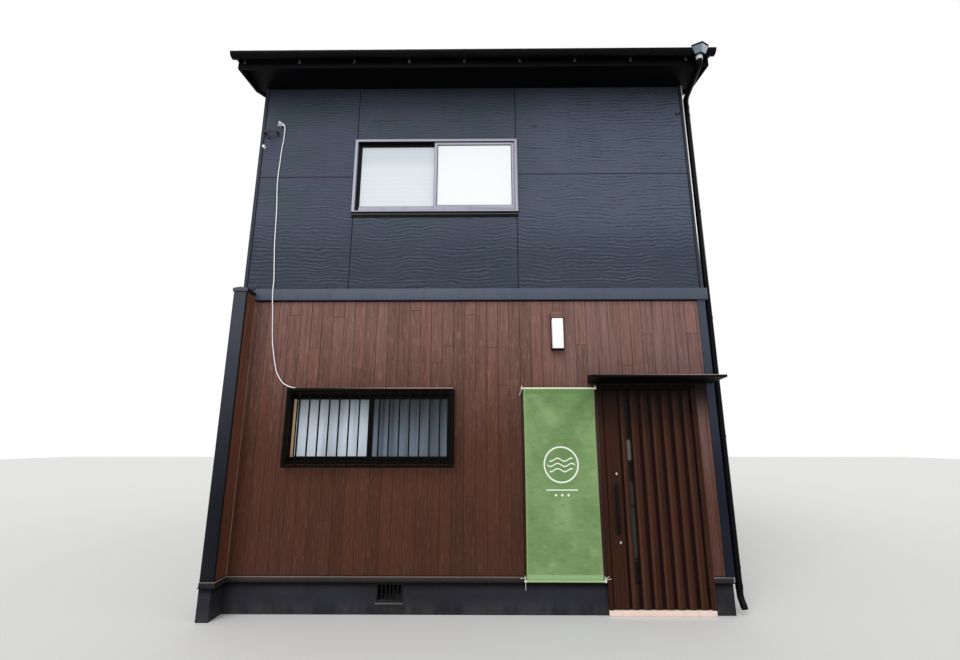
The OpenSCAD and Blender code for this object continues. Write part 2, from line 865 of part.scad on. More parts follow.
// Upright bars between two rails, on four stand-off arms that are screwed to the wall
module window_grille() {
    rail = 26;
    bar_d = 18;
    arm = 18;
    y0 = street_y - grille_out;
    x0 = lower_x0;
    x1 = lower_x1;
    z0 = lower_z - grille_past;
    z1 = lower_z + lower_h + grille_past;
    count = floor((x1 - x0 - 2 * rail) / grille_step);
    first = (x0 + x1 - count * grille_step) / 2;
    color(bronze) {
        difference() {
            box(x0, x1, y0, y0 + rail, z0, z1);
            box(x0 + rail, x1 - rail, y0 - eps, y0 + rail + eps, z0 + rail, z1 - rail);
        }
        for (i = [0 : count])
            box(first + i * grille_step - grille_bar / 2, first + i * grille_step + grille_bar / 2,
                y0 + 4, y0 + 4 + bar_d, z0 + rail, z1 - rail);
        for (x = [x0, x1 - arm], z = [z0, z1 - arm])
            box(x, x + arm, y0 + rail, street_y, z, z + arm);
    }
}

// Door frame with two jambs and a head, rebated behind the leaf
module door_frame() {
    y1 = room_y - 8;
    color(door_brown) difference() {
        box(door_x0, door_x1, door_face, y1, slab_h, door_top);
        box(door_x0 + jamb_w, door_x1 - jamb_w, door_face - eps, stop_y,
            slab_h - eps, door_top - jamb_w);
        box(door_x0 + jamb_w + lock_gap + stop_w, door_x1 - jamb_w - hinge_gap - stop_w,
            stop_y - eps, y1 + eps, slab_h - eps, door_top - jamb_w - leaf_gap - stop_w);
    }
}

// Plan of the leaf: a flat lock panel, then a row of round-faced ribs
module leaf_plan() {
    rib_r = (rib_w * rib_w / 4 + rib_h * rib_h) / (2 * rib_h);
    translate([leaf_x0, leaf_face]) square([leaf_x1 - leaf_x0, leaf_t]);
    translate([leaf_x0, rib_crest + 6]) square([lock_panel, rib_h]);
    for (i = [0 : rib_count - 1]) {
        x = rib_x0 + i * rib_pitch;
        intersection() {
            translate([x + rib_w / 2, rib_crest + rib_r]) circle(rib_r, $fn = 96);
            translate([x, rib_crest - eps]) square([rib_w, rib_h + eps + 1]);
        }
    }
}

module door_leaf() {
    color(door_brown) difference() {
        translate([0, 0, leaf_z0]) linear_extrude(leaf_z1 - leaf_z0) leaf_plan();
        box(slit_x0, slit_x1, rib_crest - eps, leaf_back + eps, slit_z, slit_z1);
    }
}

module door_glass() {
    y = leaf_face + leaf_t / 2 - glass_t;
    color("lightblue") box(slit_x0, slit_x1, y, y + glass_t, slit_z, slit_z1);
}

// Pull bar on two stand-off feet
module door_pull() {
    bar_y = rib_crest + 6 - 52;
    foot_in = 60;
    color(dark_metal) {
        box(lock_x - pull_w / 2, lock_x + pull_w / 2, bar_y, bar_y + 14, pull_z, pull_z + pull_len);
        for (z = [pull_z + foot_in, pull_z + pull_len - foot_in])
            translate([lock_x, bar_y + 12, z]) rotate([-90, 0, 0]) cylinder(40, r = 7);
    }
}

// Two lock cylinders with their roses, over and under the pull bar
module door_locks() {
    face = rib_crest + 6;
    color("silver") for (z = [pull_z - 79, pull_z + pull_len + 74])
        translate([lock_x + 14, face, z]) rotate([90, 0, 0]) {
            cylinder(5, r = 20);
            cylinder(14, r = 12);
        }
}

// Knuckles and pins that stay on the hinge jamb
knuckle = barrel_len / 3;
play = 0.6;
pin_play = 0.08;
module hinge_pins() {
    color("silver") for (z = hinge_zs) translate([axis_x, axis_y, z - barrel_len / 2]) {
        cylinder(barrel_len, r = pin_r);
        for (k = [0, 2 * knuckle]) {
            translate([0, 0, k]) cylinder(knuckle, r = barrel_r);
            translate([0, 0, k]) box(0, hinge_gap / 2, -2, door_face - axis_y + 18, 0, knuckle);
        }
    }
}

// Knuckles that turn with the leaf
module hinge_knuckles() {
    color("silver") for (z = hinge_zs)
        translate([axis_x, axis_y, z - barrel_len / 2 + knuckle + play]) difference() {
            union() {
                cylinder(knuckle - 2 * play, r = barrel_r);
                box(-hinge_gap / 2, 0, 0, 24, 0, knuckle - 2 * play);
            }
            translate([0, 0, -eps]) cylinder(knuckle + 2 * eps, r = pin_r + pin_play);
        }
}

// Thin wedge canopy over the door, with a lip along its front edge
module canopy() {
    x0 = door_x0 - canopy_past;
    x1 = hw - 8;
    front = street_y - canopy_out;
    rise = 24;
    color(bronze) difference() {
        along_x(x0, x1) polygon([
            [street_y, canopy_z], [street_y, canopy_z + canopy_root],
            [front + 10, canopy_z + rise + canopy_nose + 4],
            [front, canopy_z + rise + canopy_nose],
            [front, canopy_z + rise], [front + 14, canopy_z + rise]]);
        box(hw - corner_w - fit, x1 + eps, street_y - corner_out - fit, street_y + eps,
            canopy_z - eps, canopy_z + canopy_root + eps);
    }
}

// Wall lamp: a back plate with a cap at each end, and the opal diffuser between them
lamp_x = (banner_x0 + banner_x1) / 2 + 10;
lamp_cap = 26;
module wall_lamp_base() {
    color(bronze) {
        box(lamp_x - lamp_w / 2, lamp_x + lamp_w / 2, street_y - 20, street_y,
            lamp_z, lamp_z + lamp_h);
        for (z = [lamp_z, lamp_z + lamp_h - lamp_cap])
            box(lamp_x - lamp_w / 2, lamp_x + lamp_w / 2, street_y - lamp_out, street_y - 20,
                z, z + lamp_cap);
    }
}

module wall_lamp_diffuser() {
    inset = 3;
    color("white") box(lamp_x - lamp_w / 2 + inset, lamp_x + lamp_w / 2 - inset,
        street_y - lamp_out + inset, street_y - 20, lamp_z + lamp_cap,
        lamp_z + lamp_h - lamp_cap);
}

// Banner cloth between its two rods
banner_t = 5;
module banner() {
    color("#6f9a5c") box(banner_x0, banner_x1, banner_y - banner_t / 2, banner_y + banner_t / 2,
        banner_low + 2 * rod_r + fit, banner_top - 2 * rod_r - fit);
}

// The two rods, each hung at both ends from a wall hook a little over it
hook_rise = 26;
hook_r = 3.5;
hook_in = 12;
module rod_with_hooks(z, hook_z) {
    translate([banner_x0 - rod_past, banner_y, z]) rotate([0, 90, 0])
        cylinder(banner_w + 2 * rod_past, r = rod_r);
    for (x = [banner_x0 - rod_past + hook_in, banner_x1 + rod_past - hook_in]) {
        translate([x, banner_y, z]) cylinder(hook_z - z + hook_r, r = hook_r);
        translate([x, street_y, hook_z]) rotate([90, 0, 0]) cylinder(banner_out, r = hook_r);
    }
}

module banner_rods() {
    low_z = banner_low + rod_r;
    top_z = banner_top - rod_r;
    color("#d8d4c4") {
        rod_with_hooks(low_z, max(low_z + hook_rise, plinth_h + flash_h + 2 * hook_r));
        rod_with_hooks(top_z, top_z + hook_rise);
    }
}

// Galvanised arm at the eave corner with the cable's clamp, a wall knob under it
// and the small box that the cable comes out of
arm_z = 4950;
arm_x0 = -hw + upper_corner_w + 4;
arm_len = 164;
arm_out = 62;
arm_strap = 24;
clamp_x = arm_x0 + arm_len / 2;
clamp_y = street_y - arm_out - 4;
knob_drop = 176;
knob_r = 16;
outlet_box = 36;
outlet_box_z = arm_z + 84;
module service_bracket() {
    color("#b9bcc0") {
        for (x = [arm_x0, arm_x0 + arm_len - arm_strap]) {
            box(x, x + arm_strap, street_y - arm_out, street_y, arm_z - 3, arm_z + 3);
            box(x, x + arm_strap, street_y - 5, street_y, arm_z - 34, arm_z + 34);
        }
        box(arm_x0, arm_x0 + arm_len, street_y - arm_out, street_y - arm_out + 6,
            arm_z - 14, arm_z + 14);
        translate([clamp_x, clamp_y, arm_z - 96]) cylinder(90, r = 5);
        translate([clamp_x, clamp_y, arm_z - 92]) sphere(17);
        translate([arm_x0 + knob_r, street_y, arm_z - knob_drop])
            rotate([90, 0, 0]) {
                cylinder(knob_r, r = knob_r);
                cylinder(38, r = 9);
                translate([0, 0, 26]) cylinder(12, r = knob_r - 1);
            }
        box(cable_x - outlet_box, cable_x, street_y - 30, street_y,
            outlet_box_z, outlet_box_z + outlet_box);
    }
}

// White service cable: out of its box, down the front over the band and to the grille.
// Each point is x from the box, distance out from the cladding, and height.
cable_r = 5;
cable_x = -hw + 212;
cable_route = [
    [0, 15, 5052], [26, 15, 5050], [42, 15, 5030], [46, 14, 4990], [45, 12, 4930],
    [42, 11, 4850], [34, 10, 4770], [29, 10, 4680], [26, 10, 4560], [21, 10, 4420],
    [24, 10, 4280], [34, 10, 4140], [44, 10, 4000], [52, 10, 3800], [60, 10, 3600],
    [76, 11, 3400], [90, 14, 3250], [100, 26, 3160], [106, 42, 3110], [108, 44, 3060],
    [111, 44, 3000], [113, 40, 2950], [114, 22, 2890], [116, 12, 2820], [124, 10, 2700],
    [138, 10, 2560], [156, 10, 2450], [180, 11, 2340], [210, 14, 2230], [250, 20, 2160],
    [296, 28, 2106], [348, 34, 2076], [394, 38, 2062], [428, 40, 2054]
];
function route_point(p) = [p[0] + cable_x, street_y - p[1], p[2]];
function catmull(a, b, c, d, t) = 0.5 * (2 * b + (c - a) * t
    + (2 * a - 5 * b + 4 * c - d) * t * t + (3 * b - a - 3 * c + d) * t * t * t);
cable_points = [for (p = cable_route) route_point(p)];
cable_steps = 2;
cable_last = len(cable_points) - 1;
function cable_at(i, t) = catmull(cable_points[max(i - 1, 0)], cable_points[i],
    cable_points[i + 1], cable_points[min(i + 2, cable_last)], t);
cable_line = concat(
    [for (i = [0 : cable_last - 1], k = [0 : cable_steps - 1]) cable_at(i, k / cable_steps)],
    [cable_points[cable_last]]);
module service_cable() { color("white") tube(cable_line, cable_r, 8, [0.02, 1, 0.01]); }

foundation();
door_threshold();
ground_floor();
vent_grille();
base_flashing();
front_wall_lower();
front_wall_over_door();
door_post();
front_wall_upper();
party_wall_left();
party_wall_right();
rear_wall();
upper_floor();
wing_wall();
wing_coping();
board_cladding();
upper_siding();
storey_bands();
corner_trims();
roof_front();
roof_rear();
roof_ridge();
front_eave();
rear_eave();
verge_left();
verge_right();
gutters();
gutter_brackets();
rain_heads();
downpipes();
upper_window_frame();
upper_window_sashes();
lower_window_frame();
lower_window_sashes();
rear_windows();
front_window_glass();
rear_window_glass();
window_grille();
door_frame();
hinge_pins();
door_leaf();
door_glass();
door_pull();
door_locks();
hinge_knuckles();
canopy();
wall_lamp_base();
wall_lamp_diffuser();
banner();
banner_rods();
service_bracket();
service_cable();
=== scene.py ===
import math
import random

import bmesh
import bpy
from mathutils import Matrix, Vector


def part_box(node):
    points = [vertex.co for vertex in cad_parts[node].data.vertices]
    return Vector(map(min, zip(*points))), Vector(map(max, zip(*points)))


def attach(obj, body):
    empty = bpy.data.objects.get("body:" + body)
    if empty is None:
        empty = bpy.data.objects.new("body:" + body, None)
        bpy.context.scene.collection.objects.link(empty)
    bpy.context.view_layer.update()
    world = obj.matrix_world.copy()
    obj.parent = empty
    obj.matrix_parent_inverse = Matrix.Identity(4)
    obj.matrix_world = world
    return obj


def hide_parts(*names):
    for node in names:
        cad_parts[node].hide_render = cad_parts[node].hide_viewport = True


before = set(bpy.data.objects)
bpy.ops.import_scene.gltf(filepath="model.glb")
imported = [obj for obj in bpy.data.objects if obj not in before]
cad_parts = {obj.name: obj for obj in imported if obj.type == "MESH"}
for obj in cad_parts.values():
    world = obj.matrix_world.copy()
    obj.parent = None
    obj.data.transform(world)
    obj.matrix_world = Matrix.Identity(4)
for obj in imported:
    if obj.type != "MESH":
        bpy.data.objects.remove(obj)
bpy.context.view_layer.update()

scene = bpy.context.scene
scene.view_settings.view_transform = "Standard"

# Viewpoint
# The front is seen almost square on from nearly five metres away, at eye height, with a wide
# lens tipped up until the eave comes into view.
street_camera = bpy.data.cameras.new("street_view")
street_camera.sensor_width = 36
street_camera.lens = 18.0
viewpoint = bpy.data.objects.new("street_view", street_camera)
viewpoint.location = (0.124, -4.889, 1.547)
viewpoint.rotation_euler = (math.radians(90 + 12.94), 0, math.radians(0.53))
scene.collection.objects.link(viewpoint)
scene.camera = viewpoint


# Service cable
# White plastic sheathed cable, 10 mm thick. It leaves a small box under the eave, hangs down the
# front over the storey band, and turns in behind the grille of the ground storey window.
def screen_colour(red, green, blue):
    """An 8-bit screen colour as the linear one that a shader takes."""
    parts = [c / 255 for c in (red, green, blue)]
    return tuple(((c + 0.055) / 1.055) ** 2.4 if c > 0.04 else c / 12.92 for c in parts) + (1,)


def link(value, node, label):
    node.id_data.links.new(value, node.inputs[label])


def fill(node, values):
    """Links or sets a node's sockets. Three numbers in a colour socket are a screen colour."""
    for label, value in values.items():
        if isinstance(value, bpy.types.NodeSocket):
            link(value, node, label)
        elif node.inputs[label].type == "RGBA":
            node.inputs[label].default_value = screen_colour(*value)
        else:
            node.inputs[label].default_value = value


def add_node(tree, kind, values=None, **settings):
    """A node with its settings, and its sockets set or linked."""
    node = tree.nodes.new("ShaderNode" + kind)
    for label, value in settings.items():
        setattr(node, label, value)
    fill(node, values or {})
    return node


def tree_of(values):
    return next(v.id_data for v in values.values() if isinstance(v, bpy.types.NodeSocket))


def fed(kind, values, output=0, **settings):
    """One output of a node that stands in the tree of the sockets that feed it."""
    return add_node(tree_of(values), kind, values, **settings).outputs[output]


def new_finish(name, colour, roughness, metallic=0.0, sockets=None):
    """A material with its shader set to constant values; returns it, its tree and the shader."""
    finish = bpy.data.materials.new(name)
    finish.use_nodes = True
    shader = finish.node_tree.nodes["Principled BSDF"]
    fill(shader, {"Base Color": colour, "Roughness": roughness, "Metallic": metallic,
                  "Specular IOR Level": 0.12, **(sockets or {})})
    return finish, finish.node_tree, shader


def object_place(tree):
    return add_node(tree, "TexCoord").outputs["Object"]


def xyz(vector):
    return tuple(add_node(vector.id_data, "SeparateXYZ", {0: vector}).outputs)


def maths(how, first, second=0.0):
    return fed("Math", {0: first, 1: second}, operation=how)


def sum_of(first, second):
    return maths("ADD", first, second)


def product(first, second):
    return maths("MULTIPLY", first, second)


def stretched(place, factors):
    return fed("VectorMath", {0: place, 1: factors}, operation="MULTIPLY")


def clouds(place, scale, detail=3.0, roughness=0.55):
    return fed("TexNoise", {"Vector": place, "Scale": scale, "Detail": detail,
                            "Roughness": roughness})


def eased(value, low, high, start=0.0, end=1.0):
    """Maps low to high onto start to end, softly, and holds it there outside."""
    return fed("MapRange", {"Value": value, "From Min": low, "From Max": high, "To Min": start,
                            "To Max": end}, interpolation_type="SMOOTHSTEP")


def mixed(factor, first, second, how="MIX"):
    """First colour towards second colour by a factor."""
    return fed("Mix", {0: factor, 6: first, 7: second}, 2, data_type="RGBA", blend_type=how)


def washed(tint, washes):
    """Lays colours over a tint: each as a mask, its share and the colour."""
    for mask, share, colour in washes:
        tint = mixed(product(mask, share), tint, colour)
    return tint


def layered(tint, layers, how="MIX"):
    """Lays colours over a tint: each as a value, from, to, share and the colour."""
    for value, low, high, share, colour in layers:
        tint = mixed(eased(value, low, high, 0.0, share), tint, colour, how)
    return tint


def faded(place, tint, fades):
    """Takes a colour towards others along an axis: each as axis, from, to, share, colour."""
    parts = xyz(place)
    return layered(tint, [(parts["XYZ".index(axis)], *fade) for axis, *fade in fades])


def raise_bumps(shader, height, depth):
    """Relief of that depth in metres on the shader's normal."""
    link(fed("Bump", {"Height": height, "Distance": depth, "Strength": 1.0}), shader, "Normal")


def effect(name, takes, gives):
    """A node group with named sockets; returns it, its takings and its far end."""
    group = bpy.data.node_groups.new(name, "ShaderNodeTree")
    for label, kind, value in takes:
        socket = group.interface.new_socket(
            label, in_out="INPUT", socket_type="NodeSocket" + kind)
        if value is not None:
            socket.default_value = value
    for label in gives:
        group.interface.new_socket(label, in_out="OUTPUT", socket_type="NodeSocketFloat")
    return group, group.nodes.new("NodeGroupInput").outputs, group.nodes.new("NodeGroupOutput")


def use_effect(group, values):
    node = tree_of(values).nodes.new("ShaderNodeGroup")
    node.node_tree = group
    fill(node, values)
    return node.outputs


# Weathering that most finishes share: broad patches, rain streaks and fine specks, each 0 to 1,
# and the dust that settles where a surface faces up.
weather, given, made = effect(
    "weather", [("Place", "Vector", None), ("Patch scale", "Float", 1.5)],
    ["Patches", "Streaks", "Specks", "Settled"])
broad = clouds(given["Place"], given["Patch scale"], 5.0, 0.6)
link(eased(broad, 0.35, 0.66), made, "Patches")
runs = clouds(stretched(given["Place"], (14, 14, 0.5)), 1.0, 4.0, 0.6)
link(product(eased(runs, 0.5, 0.74), eased(broad, 0.3, 0.6)), made, "Streaks")
link(eased(clouds(given["Place"], 160.0, 2.0), 0.58, 0.72), made, "Specks")
up = xyz(add_node(weather, "NewGeometry").outputs["Normal"])[2]
link(product(eased(up, 0.4, 0.95), eased(broad, 0.2, 0.6)), made, "Settled")


def weathered(name, colour, roughness, metallic=0.0, sockets=None, patch=None, streak=None,
              dust=(150, 146, 138), scale=1.5, shares=(0.6, 0.35, 0.25, 0.5), grain=0.0, fades=()):
    """A finish with patches, rain streaks, specks and settled dust laid over its own colour."""
    finish, tree, shader = new_finish(name, colour, roughness, metallic, sockets)
    place = object_place(tree)
    marks = use_effect(weather, {"Place": place, "Patch scale": scale})
    patch = patch or [min(255, c * 1.18 + 4) for c in colour]
    streak = streak or [c * 0.72 for c in colour]
    tint = washed(colour, [(marks["Patches"], shares[0], patch)])
    tint = washed(faded(place, tint, fades), [
        (marks["Streaks"], shares[1], streak), (marks["Specks"], shares[2], streak),
        (marks["Settled"], shares[3], dust)])
    link(tint, shader, "Base Color")
    link(sum_of(product(marks["Patches"], 0.12), roughness - 0.04), shader, "Roughness")
    if grain:
        raise_bumps(shader, clouds(place, 420.0, 3.0), grain)
    return finish


def measured(node):
    """The spans of a node of the frame along x, y and z, to a tenth of a millimetre."""
    low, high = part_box(node)
    return [(round(low[k], 4), round(high[k], 4)) for k in range(3)]


# Points down the cable: how far right of its start, how far out from the face, and how high.
street_face = measured("upper_siding")[1][0]
cable_start = -2.188
cable_route = [
    (0, 0.015, 5.052), (0.026, 0.015, 5.050), (0.042, 0.015, 5.030), (0.046, 0.014, 4.990),
    (0.045, 0.012, 4.930), (0.042, 0.011, 4.850), (0.034, 0.010, 4.770), (0.029, 0.010, 4.680),
    (0.026, 0.010, 4.560), (0.021, 0.010, 4.420), (0.024, 0.010, 4.280), (0.034, 0.010, 4.140),
    (0.044, 0.010, 4.000), (0.052, 0.010, 3.800), (0.060, 0.010, 3.600), (0.076, 0.011, 3.400),
    (0.090, 0.014, 3.250), (0.100, 0.026, 3.160), (0.106, 0.042, 3.110), (0.108, 0.044, 3.060),
    (0.111, 0.044, 3.000), (0.113, 0.040, 2.950), (0.114, 0.022, 2.890), (0.116, 0.012, 2.820),
    (0.124, 0.010, 2.700), (0.138, 0.010, 2.560), (0.156, 0.010, 2.450), (0.180, 0.011, 2.340),
    (0.210, 0.014, 2.230), (0.250, 0.020, 2.160), (0.296, 0.028, 2.106), (0.348, 0.034, 2.076),
    (0.394, 0.038, 2.062), (0.428, 0.040, 2.054)]


def rounded_route(pins, steps=4):
    """Points along a smooth curve through the pins."""
    route = []
    for i in range(len(pins) - 1):
        before, start, end, after = (
            pins[max(0, min(len(pins) - 1, i + k))] for k in (-1, 0, 1, 2))
        for t in [k / steps for k in range(steps)]:
            route.append(0.5 * (2 * start + (end - before) * t
                                + (2 * before - 5 * start + 4 * end - after) * t * t
                                + (3 * start - before - 3 * end + after) * t ** 3))
    return route + [pins[-1]]


cable_line = rounded_route([Vector((x + cable_start, street_face - out, z))
                            for x, out, z in cable_route])
cable_curve = bpy.data.curves.new("service_cable_sheath", "CURVE")
cable_curve.dimensions = "3D"
cable_curve.bevel_depth = 0.005
cable_curve.bevel_resolution = 3
cable_curve.use_fill_caps = True
run = cable_curve.splines.new("POLY")
run.points.add(len(cable_line) - 1)
for point, at in zip(run.points, cable_line):
    point.co = (*at, 1)
service_cable = bpy.data.objects.new("service_cable_sheath", cable_curve)
scene.collection.objects.link(service_cable)
cable_curve.materials.append(weathered(
    "cable_sheath", (250, 250, 255), 0.42, patch=(255, 255, 255), streak=(220, 220, 228),
    shares=(0.4, 0.2, 0.2, 0.2)))
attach(service_cable, "house")
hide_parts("service_cable")


# Foundation, threshold and slab
# A cast concrete strip foundation, trowelled and painted dark slate on its outer faces, with a
# pale concrete threshold under the door. The slab inside is bare concrete at the same height.
def finished(name, shape, finishes, body="house", stands_for=()):
    """Makes a bmesh a piece at the origin that rides on its body."""
    mesh = bpy.data.meshes.new(name)
    shape.to_mesh(mesh)
    shape.free()
    for finish in finishes:
        mesh.materials.append(finish)
    piece = bpy.data.objects.new(name, mesh)
    scene.collection.objects.link(piece)
    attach(piece, body)
    if stands_for:
        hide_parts(*stands_for)
    return piece


def smooth_rounds(shape, sharp_over=32):
    """Smooth shading on round faces, with every corner over that angle kept sharp."""
    for face in shape.faces:
        face.smooth = True
    for edge in shape.edges:
        if len(edge.link_faces) == 2:
            edge.smooth = edge.calc_face_angle(0) < math.radians(sharp_over)


def bevelled(shape, edges, width):
    bmesh.ops.bevel(shape, geom=edges, offset=width, offset_type="OFFSET", segments=2,
                    profile=0.5, affect="EDGES", clamp_overlap=True, material=-1)


def ease_edges(shape, width):
    """Rounds every outer corner over 40 degrees."""
    bevelled(shape, [e for e in shape.edges if len(e.link_faces) == 2
                     and e.calc_face_angle_signed(0) > math.radians(40)], width)


def merged_copy(node):
    shape = bmesh.new()
    shape.from_mesh(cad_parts[node].data)
    bmesh.ops.remove_doubles(shape, verts=shape.verts, dist=2e-5)
    bmesh.ops.dissolve_limit(shape, angle_limit=math.radians(0.4), verts=shape.verts,
                             edges=shape.edges)
    return shape


def dressed(node, edge, finishes, body="house", pick=None, cuts=()):
    """A merged copy of a node of the frame with its corners eased, which stands for the node.

    cuts are axis and value pairs where its faces are split, so that finishes can change there.
    pick takes a face's middle and its normal, and gives the number of its finish.
    """
    shape = merged_copy(node)
    if edge:
        ease_edges(shape, edge)
    for axis, value in cuts:
        along = [float(axis == k) for k in "XYZ"]
        bmesh.ops.bisect_plane(shape, geom=shape.verts[:] + shape.edges[:] + shape.faces[:],
                               dist=1e-5, plane_co=[value * k for k in along], plane_no=along)
    if pick:
        shape.normal_update()
        for face in shape.faces:
            face.material_index = int(pick(face.calc_center_median(), face.normal))
    smooth_rounds(shape)
    return finished(node + "_made", shape, finishes, body, [node])


plinth_paint, tree, shader = new_finish("plinth_paint", (38, 39, 45), 0.62)
place = object_place(tree)
marks = use_effect(weather, {"Place": place, "Patch scale": 2.2})
splash = product(eased(xyz(place)[2], 0.15, 0.0),
                 eased(clouds(stretched(place, (6, 6, 2)), 1.0, 4.0), 0.4, 0.62))
tint = washed((33, 33, 39), [(marks["Patches"], 0.6, (46, 46, 56))])
# Painted shade: the top of the plinth, under the flashing, is darkened in its colour.
tint = faded(place, tint, [("Z", 0.20, 0.268, 1.0, (4, 4, 8))])
tint = washed(tint, [(marks["Streaks"], 0.3, (26, 27, 31)), (splash, 0.3, (84, 82, 80)),
                     (marks["Settled"], 0.6, (112, 110, 106))])
link(tint, shader, "Base Color")
raise_bumps(shader, clouds(place, 90.0, 5.0, 0.65), 0.0012)
dressed("foundation", 0.003, [plinth_paint])

bare_concrete = weathered("bare_concrete", (168, 162, 152), 0.85, patch=(188, 182, 172),
                          streak=(120, 114, 106), shares=(0.8, 0.4, 0.5, 0.3), grain=0.0012)
step_stone = weathered("step_stone", (228, 205, 195), 0.75, patch=(238, 216, 206),
                       streak=(186, 158, 148), dust=(236, 222, 214),
                       shares=(0.8, 0.4, 0.5, 0.5), grain=0.0008)
dressed("door_threshold", 0.004, [step_stone])
dressed("ground_floor", 0.0, [bare_concrete])

# Vent in the plinth
# A cast aluminium vent with five upright bars and a sloping pale sill strip under it, set in
# the foundation below the flashing.
vent_paint = weathered("vent_paint", (20, 21, 24), 0.5, 0.2, shares=(0.6, 0.4, 0.4, 0.3))
dressed("vent_grille", 0.0015, [vent_paint])


def block(shape, low, high, edge=0.0, finish=0):
    """A block between two corners, with its edges eased, in the finish of that number."""
    low, high = Vector(low), Vector(high)
    corners = bmesh.ops.create_cube(shape, size=1.0)["verts"]
    bmesh.ops.scale(shape, vec=high - low, verts=corners)
    bmesh.ops.translate(shape, vec=(low + high) / 2, verts=corners)
    for face in dict.fromkeys(f for v in corners for f in v.link_faces):
        face.material_index = finish
    if edge:
        bevelled(shape, list(dict.fromkeys(e for v in corners for e in v.link_edges)), edge)


def block_piece(name, low, high, edge, finish, body="house", stands_for=()):
    """One block with eased edges, as a piece of its own."""
    shape = bmesh.new()
    block(shape, low, high, edge)
    smooth_rounds(shape)
    finished(name, shape, [finish], body, stands_for)


(left, right), (front, back), (foot, head) = measured("vent_grille")
block_piece("vent_sill", (left - 0.010, front - 0.012, foot - 0.017),
            (right + 0.010, front + 0.006, foot - 0.001), 0.002,
            weathered("vent_sill_metal", (74, 74, 76), 0.5, 0.2))

# Folded sheet trims
# Pre-painted steel sheet, folded: the drip flashing over the plinth, the corner trims, the band
# over the joint of the storeys, and the saddle coping on the wing wall.
def sheet_paint(name, colour, roughness, patch, dusty, **more):
    """Factory paint on folded steel sheet, with its own share of settled dust."""
    return weathered(name, colour, roughness, patch=patch, shares=(0.7, 0.3, 0.15, dusty),
                     grain=0.0003, **more)


trim_sheet = sheet_paint("trim_sheet", (77, 84, 98), 0.42, (86, 93, 107), 0.6)
# Painted light: the lower corner trims lighten towards the top.
corner_sheet = sheet_paint("corner_sheet", (16, 20, 34), 0.45, (21, 25, 40), 0.5,
                           fades=[("Z", 0.9, 2.95, 0.9, (66, 72, 86))])
sunlit_edge = weathered("sunlit_edge", (76, 78, 92), 0.3, patch=(84, 86, 100),
                        shares=(0.5, 0.2, 0.15, 0.3), grain=0.0002,
                        fades=[("Z", 3.35, 3.8, 1.0, (255, 255, 255))])
shaded_corner = sheet_paint("shaded_corner", (50, 53, 64), 0.5, (56, 59, 70), 0.4)
dark_sheet = sheet_paint("dark_sheet", (48, 41, 41), 0.45, (58, 50, 49), 0.85,
                         dust=(150, 138, 132), fades=[
                             ("X", -2.20, -2.30, 0.9, (32, 33, 40)),
                             ("X", 2.20, 2.28, 0.9, (40, 42, 52))])
coping_sheet = sheet_paint("coping_sheet", (30, 30, 40), 0.4, (36, 36, 46), 0.9,
                           dust=(160, 156, 172))
coping_front = weathered("coping_front", (72, 73, 86), 0.4, grain=0.0003)
# Black that stands for shade, on the flashing's drip edge and under the upper window's sill:
# painted shade.
painted_shadow_black = weathered("painted_shadow_black", (8, 7, 9), 0.5, shares=(0.4, 0.3, 0.2, 0.2),
                       sockets={"Specular IOR Level": 0.1})
flashing_highlight = weathered("flashing_highlight", (98, 89, 87), 0.45)
dressed("storey_bands", 0.002, [trim_sheet])
side_x, upper_z = 2.401, 3.05
dressed("corner_trims", 0.0, [corner_sheet, sunlit_edge, shaded_corner],
        cuts=[("X", side_x), ("Z", upper_z)], pick=lambda at, facing: 0 if at.z < upper_z else
        1 if at.x > side_x and at.y < street_face - 0.0005 else 2)
# Painted light on the flashing: its drip edge is painted black for the shade under it, and its top
# face lighter as a highlight.
drip_z, slope_z = 0.289, 0.318
dressed("base_flashing", 0.0018, [dark_sheet, painted_shadow_black, flashing_highlight],
        cuts=[("Z", drip_z), ("Z", slope_z)],
        pick=lambda at, facing: 1 if at.z < drip_z else 2 if at.z > slope_z else 0)
# Painted light: the coping's street face takes a lighter copy of its sheet's colour, like the
# lighter top of the wing's face.
dressed("wing_coping", 0.002, [coping_sheet, coping_front],
        pick=lambda at, facing: facing.y < -0.5)

# Walls and floors
# Framed walls lined with plaster inside, party walls rendered with cement outside, and a
# boarded timber floor on joists. The wing wall is a sleeve with a painted sheet face.
inner_plaster = weathered("inner_plaster", (214, 209, 199), 0.9, patch=(222, 217, 208),
                          streak=(190, 184, 174), shares=(0.5, 0.2, 0.1, 0.2), grain=0.0004)
for node in ("front_wall_lower", "front_wall_over_door", "door_post", "front_wall_upper",
             "rear_wall"):
    dressed(node, 0.0, [inner_plaster])

party_render = weathered("party_render", (150, 150, 148), 0.9, patch=(166, 165, 161),
                         streak=(112, 110, 106), scale=0.8, shares=(0.8, 0.35, 0.4, 0.3),
                         grain=0.0016)
dressed("party_wall_left", 0.003, [party_render])
dressed("party_wall_right", 0.003, [party_render])

floor_timber, tree, shader = new_finish("floor_timber", (150, 112, 74), 0.5)
place = object_place(tree)
lanes = fed("TexBrick", {
    "Vector": place, "Scale": 1.0, "Mortar Size": 0.0016, "Brick Width": 1.82,
    "Row Height": 0.15, "Color1": (158, 118, 78), "Color2": (138, 101, 66),
    "Mortar": (66, 46, 30)})
lines = clouds(stretched(place, (2.0, 46, 46)), 1.0, 5.0, 0.6)
link(layered(lanes, [(lines, 0.38, 0.7, 0.45, (104, 72, 44))]), shader, "Base Color")
raise_bumps(shader, lines, 0.0004)
dressed("upper_floor", 0.0, [floor_timber])

# Painted light: the wing's sheet face lightens towards the top.
wing_sheet = weathered("wing_sheet", (17, 18, 26), 0.5, patch=(22, 23, 31),
                       shares=(0.8, 0.4, 0.2, 0.4), grain=0.0006,
                       fades=[("Z", 0.9, 3.0, 0.9, (60, 63, 73))])
dressed("wing_wall", 0.002, [wing_sheet])

